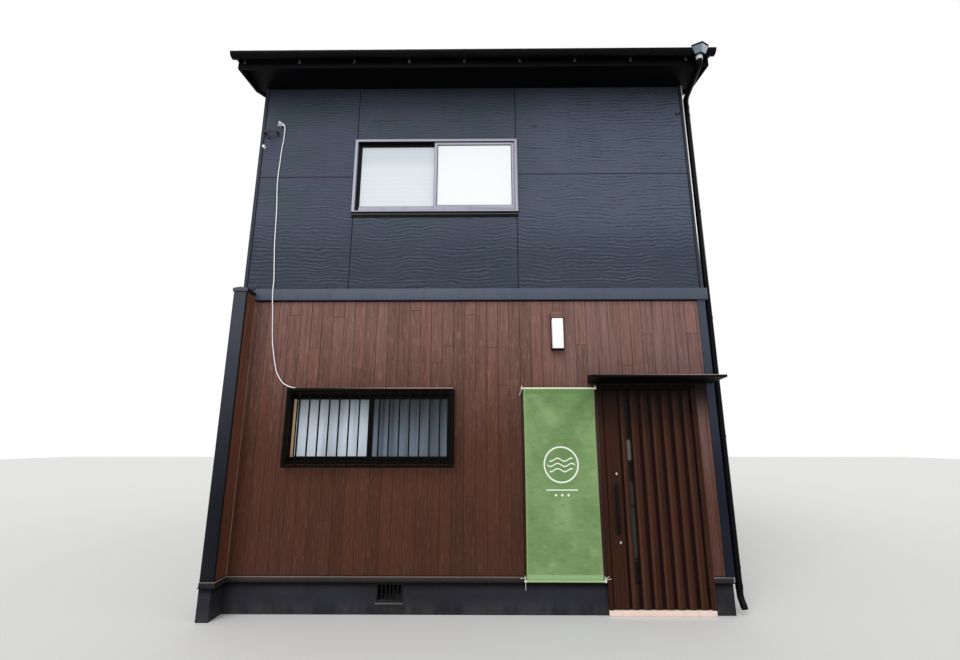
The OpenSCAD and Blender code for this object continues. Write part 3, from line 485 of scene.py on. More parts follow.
# Boards of the ground storey
# Upright brown boards, 113 mm wide, with fine printed grain, close V joints and butt joints
# where a board was pieced out. They run over the front, the wing's inner face and the rear.
def cut_sheet(shape, faces, axis, at):
    """Cuts those faces of an upright sheet along x = at (axis 0) or z = at (axis 2)."""
    parts = dict.fromkeys(part for face in faces for part in (face, *face.edges, *face.verts))
    where, across = Vector(), Vector()
    where[axis], across[axis] = at, 1
    bmesh.ops.bisect_plane(shape, geom=list(parts), dist=1e-5, plane_co=where, plane_no=across)


def between(face, axis, low, high):
    return low < face.calc_center_bounds()[axis] < high


def vertices_of(geometry):
    return [part for part in geometry if isinstance(part, bmesh.types.BMVert)]


def jointed_skin(lines, foot, head, openings, cross_joints, joint_w, joint_d, thickness):
    """An upright sheet that faces the street at y = 0, grooved into pieces at the given lines.

    cross_joints gives the heights of the level joints in each column. Each piece gets its own
    tone from 0 to 1, the joints' sides are faces of a second finish, and the sheet is folded
    back by its thickness round every opening.
    """
    shape = bmesh.new()
    outline = ((lines[0], foot), (lines[-1], foot), (lines[-1], head), (lines[0], head))
    shape.faces.new([shape.verts.new((x, joint_d, z)) for x, z in outline])
    for x in lines[1:-1]:
        cut_sheet(shape, shape.faces[:], 0, x)
    for left, right, sill, top in openings:
        for x in (left, right):
            cut_sheet(shape, [f for f in shape.faces
                              if min(v.co.x for v in f.verts) < x < max(v.co.x for v in f.verts)],
                      0, x)
        for z in (sill, top):
            cut_sheet(shape, [f for f in shape.faces if between(f, 0, left, right)], 2, z)
        bmesh.ops.delete(shape, context="FACES", geom=[
            f for f in shape.faces if between(f, 0, left, right) and between(f, 2, sill, top)])
    for left, right in zip(lines, lines[1:]):
        bmesh.ops.dissolve_faces(shape, faces=[
            f for f in shape.faces if left < f.calc_center_median().x < right])
    for left, right, heights in zip(lines, lines[1:], cross_joints):
        for z in heights:
            cut_sheet(shape, [f for f in shape.faces
                              if left < f.calc_center_median().x < right], 2, z)
    tone = shape.faces.layers.float.new("tone")
    for face in sorted(shape.faces, key=lambda f: tuple(f.calc_center_median())):
        face[tone] = dice.random()
    bmesh.ops.inset_individual(shape, faces=shape.faces[:], thickness=joint_w, depth=joint_d,
                               use_even_offset=True)
    rim = [e for e in shape.edges if e.is_boundary]
    folded = bmesh.ops.extrude_edge_only(shape, edges=rim)["geom"]
    bmesh.ops.translate(shape, vec=(0, thickness - joint_d, 0), verts=vertices_of(folded))
    shape.normal_update()
    for face in shape.faces:
        face.material_index = 0 if face.normal.y < -0.999 else 1
    return shape


def add_sheet(shape, sheet, place):
    """Joins one sheet to a shape, turned and moved into place."""
    holder = bpy.data.meshes.new("sheet")
    sheet.to_mesh(holder)
    sheet.free()
    holder.transform(place)
    shape.from_mesh(holder)
    bpy.data.meshes.remove(holder)


def stored(tree, name):
    """A value that the mesh holds for each face or point."""
    return add_node(tree, "Attribute", attribute_name=name).outputs["Fac"]


def moved_by(place, offset):
    return fed("VectorMath", {0: place, 1: offset}, operation="ADD")


def overlap(*masks):
    """1 where all of the masks are."""
    whole = masks[0]
    for mask in masks[1:]:
        whole = product(whole, mask)
    return whole


brown_boards, tree, shader = new_finish("brown_boards", (78, 48, 36), 0.55)
tone = stored(tree, "tone")
still = object_place(tree)
x, y, z = xyz(still)
place = moved_by(still, fed("CombineXYZ", {0: product(tone, 7.0), 1: 0.0,
                                           2: product(tone, 31.0)}))
fibre = clouds(stretched(place, (150, 150, 2.6)), 1.0, 5.0, 0.62)
streaks = clouds(stretched(place, (62, 62, 9.0)), 1.0, 4.0, 0.6)
figure = clouds(stretched(place, (24, 24, 0.8)), 1.0, 4.0, 0.6)
# Painted light: aloft makes the light grain streaks stronger higher up.
aloft = eased(z, 1.2, 2.6, 0.2, 1.0)
# Lighter towards the right, and from low on the wall upward.
lighter_right = overlap(eased(x, 0.2, 1.4), eased(z, 0.85, 1.6, 0.25, 1.0))
in_front = eased(y, 1.1, 1.0)
# Painted shadow: the boards by the door head are darkened under the canopy.
canopy_shadow = overlap(in_front, eased(x, 1.12, 1.24), eased(z, 1.66, 2.07),
                       eased(z, 2.15, 2.11))
# Painted shadow: the boards behind and beside the banner are darkened.
banner_shadow = overlap(in_front, eased(z, 2.055, 2.04), eased(x, 0.48, 0.50),
                       eased(x, 1.29, 1.26))
# Painted light: boards set back from the street face, on the wing's inner face, are lightened.
# Painted light: the boards lighten towards the top and darken towards the foot.
tint = faded(still, (84, 50, 36), [
    ("Z", 1.3, 3.0, 0.95, (128, 95, 89)), ("Y", -0.085, -0.10, 0.75, (134, 84, 66)),
    ("Z", 1.4, 0.6, 0.4, (66, 36, 27))])
tint = washed(tint, [(lighter_right, 0.45, (140, 112, 110))])
tint = mixed(1.0, tint, mixed(tone, (226, 226, 228), (255, 255, 255)), "MULTIPLY")
tint = layered(tint, [(tone, 0.78, 0.84, 0.6, (255, 240, 236)),
                      (tone, 0.18, 0.12, 0.8, (246, 250, 240))], "MULTIPLY")
tint = layered(tint, [(figure, 0.42, 0.7, 0.35, (66, 38, 28))])
tint = washed(tint, [(product(aloft, eased(streaks, 0.48, 0.3)), 0.5, (150, 112, 98))])
tint = layered(tint, [(fibre, 0.5, 0.66, 0.4, (52, 28, 21))])
tint = washed(tint, [(product(aloft, eased(fibre, 0.44, 0.3)), 0.5, (150, 114, 100)),
                     (canopy_shadow, 0.95, (8, 3, 2)), (banner_shadow, 0.6, (34, 16, 12))])
# Painted shade: a thin band at the foot of the boards is darkened.
tint = faded(still, tint, [("Z", 0.338, 0.330, 0.8, (22, 10, 8))])
link(tint, shader, "Base Color")
link(eased(fibre, 0.35, 0.7, 0.46, 0.68), shader, "Roughness")
raise_bumps(shader, fibre, 0.0008)
board_edge = weathered("board_edge", (58, 34, 28), 0.8, shares=(0.5, 0.2, 0.2, 0.2))

dice = random.Random(41)


def opening(node):
    """The span of a frame in its wall: left, right, foot and head."""
    across, _, upright = measured(node)
    return *across, *upright


def mirrored(span):
    left, right, foot, head = span
    return -right, -left, foot, head


(left_end, right_end), (wing_front, rear_face), (board_low, _) = measured("board_cladding")
band_foot = measured("storey_bands")[2][0]
board_w = 0.1134
board_joint = {"joint_w": 0.0020, "joint_d": 0.0030, "thickness": 0.018}
wing_side, wing_head = -2.270, 3.010
lower_window, doorway = opening("lower_window_frame"), opening("door_frame")
on_street = Matrix.Translation((0, street_face, 0))
on_rear = Matrix.Translation((0, rear_face, 0)) @ Matrix.Rotation(math.pi, 4, "Z")
on_wing = Matrix.Translation((wing_side, 0, 0)) @ Matrix.Rotation(math.pi / 2, 4, "Z")
# Butt joints of the street front, by the board's number from the middle.
butts = {-16: [1.516], -14: [0.716], -13: [2.814], -11: [0.492, 2.465], -9: [0.805, 2.793],
         -7: [2.250], -6: [1.066], -3: [0.711], -2: [2.862], -1: [1.025], 0: [2.313],
         1: [0.713, 2.488], 3: [1.025, 2.816], 5: [0.713, 2.470], 6: [2.085], 7: [1.035],
         11: [2.831], 13: [2.496], 17: [2.281], 19: [2.607], 23: [2.611]}

shape = bmesh.new()
lines = [wing_side] + [-0.419 + board_w * k for k in range(-16, 25)] + [right_end]
joints = [butts.get(i - 17, []) for i in range(len(lines) - 1)]
add_sheet(shape, jointed_skin(lines, board_low, band_foot, [lower_window, doorway], joints,
                              **board_joint), on_street)
wing_lines = [wing_front, wing_front + 0.1, street_face]
add_sheet(shape, jointed_skin(wing_lines, board_low, wing_head, [], [[], [2.35]], **board_joint),
          on_wing)
lines = [left_end + board_w * i for i in range(42)] + [right_end]
joints = [[dice.uniform(0.6, 2.7)] if dice.random() < 0.42 else [] for _ in lines[1:]]
add_sheet(shape, jointed_skin(lines, board_low, band_foot, [mirrored(lower_window)], joints,
                              **board_joint), on_rear)
finished("upright_boards", shape, [brown_boards, board_edge],
         stands_for=["board_cladding"])

# A folded cover strip closes the wing's front edge, with a black strip beside it on its inner side,
# a pale bead closes the corner beside the boards, and a black strip lies in the joint under the
# band.
# Both black strips are painted shade.
strip_foot, strip_head, strip_side = 0.327, 3.004, -2.275
shape = bmesh.new()
for low, high, edge, finish in (
        ((left_end, -0.2805, strip_foot), (strip_side, wing_front, strip_head), 0.0008, 0),
        ((strip_side, -0.2795, strip_foot), (-2.269, -0.262, strip_head), 0.0008, 1),
        ((-2.2705, -0.084, strip_foot), (-2.264, street_face, 2.969), 0.0015, 2),
        ((-2.262, -0.0835, 2.955), (2.332, street_face, 2.9695), 0.001, 1)):
    block(shape, low, high, edge, finish)
smooth_rounds(shape)
# Black that stands for shade, in the two black strips: painted shade.
band_shadow_strip = weathered("band_shadow_black", (10, 10, 12), 0.8, shares=(0.4, 0.2, 0.2, 0.2))
pale_bead = weathered("pale_bead", (140, 110, 95), 0.5, patch=(150, 122, 106))
finished("joint_strips", shape, [wing_sheet, band_shadow_strip, pale_bead])

# Siding of the upper storey
# Fibre cement panels in charcoal blue, embossed with level wavy ridges, coarse and fine, and
# butted just inside the sides of the window with dark sealant in the joints.
def sine(value):
    return maths("SINE", value)


ripples, given, made = effect(
    "ripples", [("Place", "Vector", None), ("Pitch", "Float", 0.07)],
    ["Height", "Crests", "Valleys"])
sway = clouds(stretched(given["Place"], (1.5, 1.5, 1.1)), 1.0, 2.0)
jitter = clouds(stretched(given["Place"], (9, 9, 14)), 1.0, 3.0)
turns = maths("DIVIDE", xyz(given["Place"])[2], given["Pitch"])
phase = sum_of(sum_of(turns, product(sway, 5.0)), product(jitter, 1.3))
wave = sine(product(phase, 2 * math.pi))
link(eased(wave, -1.0, 1.0), made, "Height")
link(eased(wave, 0.1, 0.9), made, "Crests")
link(eased(wave, -0.1, -0.9), made, "Valleys")


def distance(offset):
    return fed("VectorMath", {0: offset}, "Value", operation="LENGTH")


def spot(place, x, z, half_w, half_h):
    """1 within a small ragged oval of the wall, 0 outside."""
    away = stretched(moved_by(place, (-x, 0, -z)), (1 / half_w, 0, 1 / half_h))
    ragged = clouds(stretched(place, (30, 30, 70)), 1.0, 3.0)
    return eased(sum_of(distance(away), ragged), 1.6, 1.3)


siding_panel, tree, shader = new_finish("siding_panel", (66, 74, 87), 0.6)
place = object_place(tree)
coarse = use_effect(ripples, {"Place": place, "Pitch": 0.042})
narrow = use_effect(ripples, {"Place": place, "Pitch": 0.031})
marks = use_effect(weather, {"Place": place, "Patch scale": 1.1})
x, y, z = xyz(place)
broken = eased(clouds(stretched(place, (4, 4, 9)), 1.0, 3.0), 0.35, 0.62)
strong = maths("MAXIMUM", eased(z, 4.5, 3.5), eased(x, 0.4, 1.8, 0.0, 0.9))
strong = product(sum_of(product(strong, 0.6), 0.4), sum_of(product(broken, 0.8), 0.2))
faint = product(eased(clouds(place, 1.3, 2.0), 0.35, 0.62, 0.15, 0.6), broken)
hue = eased(clouds(stretched(place, (1.6, 1.6, 2.2)), 1.0, 3.0), 0.38, 0.62)
tint = faded(place, mixed(hue, (62, 74, 85), (70, 74, 91)), [
    ("X", 0.2, 1.0, 0.75, (80, 88, 105)), ("Z", 4.0, 3.4, 0.75, (46, 54, 66))])
# Painted light: the crests of the ridges are lightened and their valleys darkened, standing for
# light and shade on the relief.
for relief, share in ((coarse, strong), (narrow, faint)):
    tint = washed(tint, [(product(relief["Crests"], share), 0.3, (94, 104, 120)),
                         (product(relief["Valleys"], share), 0.55, (34, 40, 52))])
# Dark marks on the siding, as x, height, half width, half height and strength.
dark_marks = [(-0.995, 5.108, 0.20, 0.007, 0.5), (-0.21, 5.102, 0.09, 0.006, 0.5),
          (0.73, 4.748, 0.11, 0.006, 0.5), (0.70, 5.03, 0.035, 0.012, 0.6),
          (2.322, 5.172, 0.020, 0.022, 0.85), (2.356, 5.180, 0.012, 0.028, 0.85)]
tint = washed(tint, [(spot(place, *oval), share, (20, 22, 32)) for *oval, share in dark_marks])
tint = washed(tint, [(marks["Streaks"], 0.2, (50, 54, 63))])
# Painted shade under the eave: the top of the siding darkens.
tint = faded(place, tint, [("Z", 5.34, 5.54, 0.5, (22, 24, 30))])
link(tint, shader, "Base Color")
link(sum_of(product(marks["Patches"], 0.1), 0.54), shader, "Roughness")
height = sum_of(product(coarse["Height"], product(strong, 0.7)),
                product(narrow["Height"], product(faint, 0.3)))
raise_bumps(shader, height, 0.0015)
joint_sealant = weathered("joint_sealant", (30, 32, 40), 0.7, shares=(0.3, 0.2, 0.2, 0.3))

upper_window = opening("upper_window_frame")
siding_low, siding_high = measured("upper_siding")[2]
panel_edges, panel_joints = [-2.376, -1.308, 0.482, 2.376], [[4.402], [], [4.428]]
shape = bmesh.new()
for edges, joints, window, wall in (
        (panel_edges, panel_joints, upper_window, on_street),
        ([-x for x in panel_edges[::-1]], panel_joints[::-1], mirrored(upper_window), on_rear)):
    add_sheet(shape, jointed_skin(edges, siding_low, siding_high, [window], joints, joint_w=0.0050,
                                  joint_d=0.0050, thickness=0.018), wall)
finished("siding_panels", shape, [siding_panel, joint_sealant],
         stands_for=["upper_siding"])

# Roof
# Dark smoked clay pantiles, nineteen to a course and nineteen courses to a slope, each with a
# roll on its right side that laps the next. The eave course ends in round discs over a drip.
slope_angle = 24
ridge_y = measured("roof_front")[1][1]
tiles_across = courses_up = 19
tile_step, course_step = 0.2676, 0.2365
first_tile = (-2.5475, -0.5416, 5.5706)
# Points across a tile and their heights, in millimetres.
tile_profile = [(0, 24), (20, 17.5), (50, 14.5), (92, 13.5), (134, 15), (164, 19), (186, 27),
                (206, 36), (229, 40), (252, 36), (280, 23)]
roof_clay, tree, shader = new_finish("roof_clay", (70, 72, 76), 0.42, 0.0,
                                     {"Specular IOR Level": 0.35})
place = object_place(tree)
marks = use_effect(weather, {"Place": place, "Patch scale": 5.0})
tint = washed(mixed(stored(tree, "tone"), (58, 60, 64), (84, 87, 92)), [
    (marks["Patches"], 0.4, (98, 100, 103)), (marks["Specks"], 0.5, (44, 45, 47))])
link(tint, shader, "Base Color")
link(sum_of(product(marks["Patches"], 0.2), 0.34), shader, "Roughness")
raise_bumps(shader, clouds(place, 130.0, 4.0), 0.0006)


def pantile():
    """One tile: width along x, length up the slope along y, with its front end lifted."""
    tile = bmesh.new()
    bmesh.ops.create_grid(tile, x_segments=10, y_segments=1, size=0.5)
    for vert in tile.verts:
        across, rise = tile_profile[round((vert.co.x + 0.5) * 10)]
        up_slope = vert.co.y + 0.5
        vert.co = (across / 1000, up_slope * 0.29, rise / 1000 + 0.014 * (1 - up_slope))
    under = bmesh.ops.extrude_face_region(tile, geom=tile.faces[:])["geom"]
    bmesh.ops.translate(tile, vec=(0, 0, -0.012), verts=vertices_of(under))
    bmesh.ops.recalc_face_normals(tile, faces=tile.faces[:])
    return tile


def turned(shape, verts, degrees, axis, centre=(0, 0, 0)):
    bmesh.ops.rotate(shape, cent=centre, verts=verts,
                     matrix=Matrix.Rotation(math.radians(degrees), 3, axis))


def eave_end():
    """The round disc and the drip that close the front of an eave tile."""
    end = bmesh.new()
    bmesh.ops.create_cone(end, cap_ends=True, segments=20, radius1=0.034, radius2=0.034,
                          depth=0.016)
    face = [f for f in end.faces if len(f.verts) > 4 and f.normal.z > 0.5]
    bmesh.ops.inset_region(end, faces=face, thickness=0.007, depth=0.0)
    bmesh.ops.inset_region(end, faces=face, thickness=0.002, depth=-0.003)
    turned(end, end.verts, 90, "X")
    bmesh.ops.translate(end, vec=(0.229, -0.004, 0.020), verts=end.verts)
    block(end, (0.004, -0.010, -0.016), (0.196, 0.006, 0.024), 0.003)
    return end


def row_of(shape, count, step):
    """Copies of a shape side by side, which take its place."""
    mesh = bpy.data.meshes.new("one_of_row")
    shape.to_mesh(mesh)
    shape.free()
    row = bmesh.new()
    for i in range(count):
        row.from_mesh(mesh)
        row.verts.ensure_lookup_table()
        bmesh.ops.translate(row, vec=Vector(step) * i, verts=row.verts[len(mesh.vertices) * i:])
    bpy.data.meshes.remove(mesh)
    return row


def tiled_slope(back):
    """Courses of tiles with their eave ends and edge tiles, on the street side or turned back."""
    tile = pantile()
    faces_each = len(tile.faces)
    course = row_of(tile, tiles_across, (tile_step, 0, 0))
    slope = row_of(course, courses_up, (0, course_step, 0))
    tone = slope.faces.layers.float.new("tone")
    tones = [dice.random() for _ in range(tiles_across * courses_up)]
    for i, face in enumerate(slope.faces):
        face[tone] = tones[i // faces_each]
    add_sheet(slope, row_of(eave_end(), tiles_across, (tile_step, 0, 0)), Matrix.Identity(4))
    for side in (0.0, tiles_across * tile_step - 0.004):
        for i in range(courses_up):
            block(slope, (side, i * course_step - 0.004, -0.035),
                  (side + 0.014, i * course_step + 0.262, 0.030 - 0.004 * (i % 2)), 0.003)
    turned(slope, slope.verts, slope_angle, "X")
    bmesh.ops.translate(slope, vec=first_tile, verts=slope.verts)
    if back:
        turned(slope, slope.verts, 180, "Z", (0, ridge_y, 0))
    smooth_rounds(slope, 38)
    return slope


finished("tiles_street_slope", tiled_slope(False), [roof_clay],
         stands_for=["roof_front"])
finished("tiles_rear_slope", tiled_slope(True), [roof_clay],
         stands_for=["roof_rear"])

# The boarding under the tiles, of softwood, closes the roof between the walls and the ridge.
roof_boarding = weathered("roof_boarding", (158, 126, 88), 0.75, shares=(0.6, 0.5, 0.3, 0.1))
deck_boards, deck_half, deck_step, deck_w = 25, 2.53, 0.1768, 0.1750
eave_y, eave_z = -0.558, 5.5633
shape = bmesh.new()
for turn in (0, 180):
    deck = bmesh.new()
    for i in range(deck_boards):
        start = 0.09 + i * deck_step
        block(deck, (-deck_half, start, -0.0235), (deck_half, start + deck_w, -0.001), 0.001)
    turned(deck, deck.verts, slope_angle, "X")
    bmesh.ops.translate(deck, vec=(0, eave_y, eave_z), verts=deck.verts)
    turned(deck, deck.verts, turn, "Z", (0, ridge_y, 0))
    add_sheet(shape, deck, Matrix.Identity(4))
finished("roof_boards", shape, [roof_boarding])


def round_bar(shape, length, radii, middle, turn=None, segments=20, capped=True):
    """A round bar from one radius to another, upright or turned, with its middle in place."""
    verts = bmesh.ops.create_cone(shape, cap_ends=capped, segments=segments, radius1=radii[0],
                                  radius2=radii[1], depth=length)["verts"]
    if turn:
        bmesh.ops.rotate(shape, cent=(0, 0, 0), matrix=turn, verts=verts)
    bmesh.ops.translate(shape, vec=middle, verts=verts)


# Ridge: three courses of flat tiles bedded in dark mortar, a row of round caps, and an end tile
# with a raised rim over each verge.
along_x = Matrix.Rotation(math.radians(90), 3, "Y")
bed_half, bed_foot, bed_head = 2.52, 7.37, 7.567
flats_in_row, flat_step, flat_length = 17, 0.2941, 0.2915
caps_in_row, cap_step, cap_length = 19, 0.2630, 0.264
shape = bmesh.new()
block(shape, (-bed_half, ridge_y - 0.086, bed_foot), (bed_half, ridge_y + 0.086, bed_head))
for course in range(3):
    half = 0.115 - 0.011 * course
    foot = 7.402 + 0.054 * course
    for i in range(flats_in_row):
        start = -2.50 + i * flat_step
        block(shape, (start, ridge_y - half, foot + 0.014),
              (start + flat_length, ridge_y + half, foot + 0.050), 0.005)
for i in range(caps_in_row):
    round_bar(shape, cap_length, (0.078, 0.071), (-2.367 + i * cap_step, ridge_y, 7.5675),
              along_x)
end_outline = [(-0.155, 7.396), (0.155, 7.396), (0.1265, 7.5875), (0.0575, 7.6653),
               (-0.0575, 7.6653), (-0.1265, 7.5875)]
for side in (-1, 1):
    face = shape.faces.new([shape.verts.new((side * 2.498, ridge_y + y, z))
                            for y, z in end_outline])
    outer = bmesh.ops.extrude_face_region(shape, geom=[face])["geom"]
    bmesh.ops.translate(shape, vec=(side * 0.050, 0, 0), verts=vertices_of(outer))
    front = [f for f in outer if isinstance(f, bmesh.types.BMFace)]
    bmesh.ops.recalc_face_normals(shape, faces=shape.faces[:])
    bmesh.ops.inset_region(shape, faces=front, thickness=0.022, depth=0.0)
    bmesh.ops.inset_region(shape, faces=front, thickness=0.004, depth=-0.010)
smooth_rounds(shape, 34)
finished("ridge_stack", shape, [roof_clay], stands_for=["roof_ridge"])

# Eaves and verges
# Black painted steel sheet over timber: the fascias along both eaves, the level soffits behind
# them, and the barge boards with their sloping soffits up the gables.
black_sheet = weathered("black_sheet", (7, 7, 9), 0.5, patch=(10, 10, 13), dust=(52, 52, 54),
                        shares=(0.7, 0.3, 0.1, 0.7), grain=0.0003,
                        sockets={"Specular IOR Level": 0.04})
for node in ("front_eave", "rear_eave", "verge_left", "verge_right"):
    dressed(node, 0.002, [black_sheet])

# Rainwater goods
# Glossy black plastic gutters on galvanised straps, a six-sided grey rain head at the right end
# with a pale sleeve under it, and round downpipes with sleeves, wall clips and a kicked-out shoe.
gloss = {"colour": (8, 8, 10), "roughness": 0.32, "patch": (11, 11, 14), "dust": (40, 42, 46),
         "sockets": {"Specular IOR Level": 0.06}, "shares": (0.6, 0.3, 0.15, 0.5)}
gutter_gloss = weathered("gutter_gloss", **gloss)
zinc = weathered("zinc", (138, 141, 146), 0.38, 0.85, patch=(160, 163, 168),
                 streak=(96, 98, 102), shares=(0.8, 0.5, 0.4, 0.3))
# Painted reflection: the heads' right-hand faces are lighter.
rain_head_grey = weathered("rain_head_grey", (112, 124, 136), 0.35,
                           shares=(0.4, 0.4, 0.2, 0.3),
                           fades=[("X", 2.396, 2.404, 1.0, (172, 182, 198))])
dressed("gutters", 0.0, [gutter_gloss])
# The straps are black where the gutter hides them, and the heads are black at the rim and on the
# sides that face the house.
strap_turn, head_back, rim_z = 4.0645, 4.15, 5.582
dressed("gutter_brackets", 0.0, [gutter_gloss, zinc],
        pick=lambda at, facing: abs(at.y - ridge_y) < strap_turn)
dressed("rain_heads", 0.0, [rain_head_grey, gutter_gloss], cuts=[("Z", rim_z)],
        pick=lambda at, facing: abs(facing.z) > 0.8 or at.z > rim_z
        or abs(at.y - ridge_y) < head_back)
# Painted reflection: the pipe's right side is lighter down to about 3 m, and the pipe is near black
# below.
pipe_gloss = weathered("pipe_gloss", **gloss, fades=[
    ("X", 2.472, 2.500, 0.6, (140, 140, 148)), ("Z", 3.6, 3.0, 1.0, (9, 9, 12))])
dressed("downpipes", 0.0, [pipe_gloss])
outlet_x, outlet_y, outlet_z = 2.402, -0.567, 5.4855
sleeves = bmesh.new()
for y in (outlet_y, 2 * ridge_y - outlet_y):
    round_bar(sleeves, 0.046, (0.0325, 0.0330), (outlet_x, y, outlet_z), segments=28)
ease_edges(sleeves, 0.0015)
smooth_rounds(sleeves)
finished("rain_head_sleeves", sleeves, [weathered("pale_plastic", (196, 198, 200), 0.4)])

# Windows
# Extruded aluminium sliding windows, mauve-grey upstairs and dark bronze downstairs and at the
# rear: an outer frame, two sashes on their own tracks, and panes held in black gaskets.
window_metal = weathered("window_metal", (146, 146, 158), 0.4, 0.3, patch=(158, 156, 170),
                         shares=(0.5, 0.3, 0.1, 0.4))
shaded_metal = weathered("shaded_metal", (12, 11, 14), 0.5, shares=(0.5, 0.3, 0.1, 0.2),
                         sockets={"Specular IOR Level": 0.1})
bronze_metal = weathered("bronze_metal", (10, 7, 6), 0.5, 0.1, patch=(15, 11, 9),
                         dust=(60, 52, 48), shares=(0.5, 0.3, 0.1, 0.4),
                         sockets={"Specular IOR Level": 0.05})
# Painted light: a pale colour for the sunlit strip on the lower window's left stile.
sunlit_stile = weathered("sunlit_stile", (226, 184, 144), 0.5, shares=(0.5, 0.3, 0.1, 0.2))
# The upper window is in shade under its sill and its head, and round its inner sash.
sill_z, rail_z, stile_x = 3.973, 4.07, -1.26
dressed("upper_window_frame", 0.0016, [window_metal, shaded_metal],
        cuts=[("Z", sill_z)],
        pick=lambda at, facing: (facing.z < -0.5 and at.z > 4.7) or at.z < sill_z)
dressed("upper_window_sashes", 0.0016, [window_metal, shaded_metal],
        cuts=[("Z", rail_z), ("X", stile_x)],
        pick=lambda at, facing: -0.0545 < at.y < -0.02 and (at.z > rail_z or at.x < stile_x))
dressed("lower_window_frame", 0.0016, [bronze_metal])
# A painted sunlit strip runs up the left stile of the lower one: light painted into its colour.
sunlit_left, sunlit_right, sunlit_foot, sunlit_head = -1.782, -1.757, 1.389, 1.951
dressed("lower_window_sashes", 0.0016, [bronze_metal, sunlit_stile],
        cuts=[("X", sunlit_left), ("X", sunlit_right), ("Z", sunlit_foot), ("Z", sunlit_head)],
        pick=lambda at, facing: sunlit_left < at.x < sunlit_right and sunlit_foot < at.z < sunlit_head)
dressed("rear_windows", 0.0016, [bronze_metal])

# A grey nose stands under the sill of the upper window, with a black strip below it that is painted
# shade. Over the lower one, a dark strip in the shaded gap above the frame is painted shade, and a
# thin bright strip on the grille's top rail is a painted highlight.
shape = bmesh.new()
left, right, foot, head = upper_window
block(shape, (left, -0.0915, foot - 0.011), (right, -0.0775, foot - 0.001), 0.0015)
block(shape, (left, -0.0875, foot - 0.043), (right, -0.0775, foot - 0.010), 0.0015, 1)
smooth_rounds(shape)
finished("sill_nose_and_shadow", shape, [weathered("drip_nose", (104, 103, 108), 0.4), painted_shadow_black])
# Painted shade: a dark strip fills the shaded gap over the lower window's head.
left, right, foot, head = lower_window
block_piece("head_shadow_strip", (left, -0.086, head - 0.0005), (right, -0.077, head + 0.031), 0.001,
            bronze_metal)
(left, right), (front, back), (foot, head) = measured("window_grille")
# Painted highlight: a thin strip on the grille's top rail, brighter towards the right.
rail_highlight = weathered("rail_highlight", (40, 32, 30), 0.4,
                     fades=[("X", -1.5, -0.5, 1.0, (226, 198, 188))])
block_piece("grille_highlight_strip", (-1.60, front - 0.0008, head - 0.0035),
            (right - 0.002, front + 0.003, head + 0.0005), 0.0008, rail_highlight)


band_pitch = 0.052


def pane_finish(name, low, high, z_low, z_high, lines=None, hangings=None):
    """Obscured glass from a low colour to a high one, with level lines or upright folds."""
    finish, tree, shader = new_finish(name, low, 0.16, 0.0, {
        "IOR": 1.5, "Transmission Weight": 0.08, "Coat Weight": 0.15, "Coat Roughness": 0.03})
    place = object_place(tree)
    tint = faded(place, low, [("Z", z_low, z_high, 1.0, high)])
    if lines:
        wave = sine(product(xyz(place)[2], 2 * math.pi / band_pitch))
        tint = layered(tint, [(wave, 0.2, 0.95, 0.35, lines)])
    if hangings:
        strength, folds_colour, faint_colour = hangings
        folds = clouds(stretched(place, (13, 13, 0.5)), 1.0, 2.0, 0.4)
        faint = clouds(stretched(place, (5, 5, 2.0)), 1.0, 2.0)
        tint = layered(tint, [(folds, 0.42, 0.62, strength, folds_colour),
                              (faint, 0.4, 0.7, 0.4, faint_colour)], "MULTIPLY")
    link(tint, shader, "Base Color")
    return finish


panes = [pane_finish("pane_white", (246, 249, 251), (244, 248, 250), 4.05, 4.79),
         pane_finish("pane_banded", (222, 229, 236), (204, 214, 222), 4.50, 4.66,
                     lines=(212, 221, 229)),
         # Painted shade: the lower window's panes darken towards the top, under the grille and the
         # head of the frame.
         pane_finish("pane_slate", (118, 132, 148), (54, 60, 64), 1.42, 1.95,
                     hangings=(0.8, (176, 178, 182), (222, 226, 220))),
         pane_finish("pane_pale", (214, 226, 240), (140, 152, 162), 1.60, 1.95,
                     hangings=(0.5, (190, 192, 196), (240, 238, 232)))]
gasket_rubber = weathered("gasket_rubber", (12, 12, 14), 0.7, shares=(0.3, 0.1, 0.2, 0.4))
sash_face, frame_face = 0.034, 0.0303
outer_sash_y, inner_sash_y = -0.084, -0.052


def pane_spans(left, right, sill, head, foot):
    """The two panes of a sliding window as x from, x to, y of the sash's face, z from, z to."""
    middle = (left + right) / 2
    low, high = sill + frame_face + foot, head - frame_face - sash_face
    return [(middle + sash_face / 2, right - frame_face - sash_face, outer_sash_y, low, high),
            (left + frame_face + sash_face, middle - sash_face / 2, inner_sash_y, low, high)]


def gasket_ring(shape, left, right, y, foot, head, width=0.005):
    """A rubber lip round a pane, four strips that overlap at its corners."""
    for low, high in (((left, foot), (right, foot + width)), ((left, head - width), (right, head)),
                      ((left, foot), (left + width, head)), ((right - width, foot), (right, head))):
        block(shape, (low[0], y, low[1]), (high[0], y + 0.008, high[1]), 0.001)


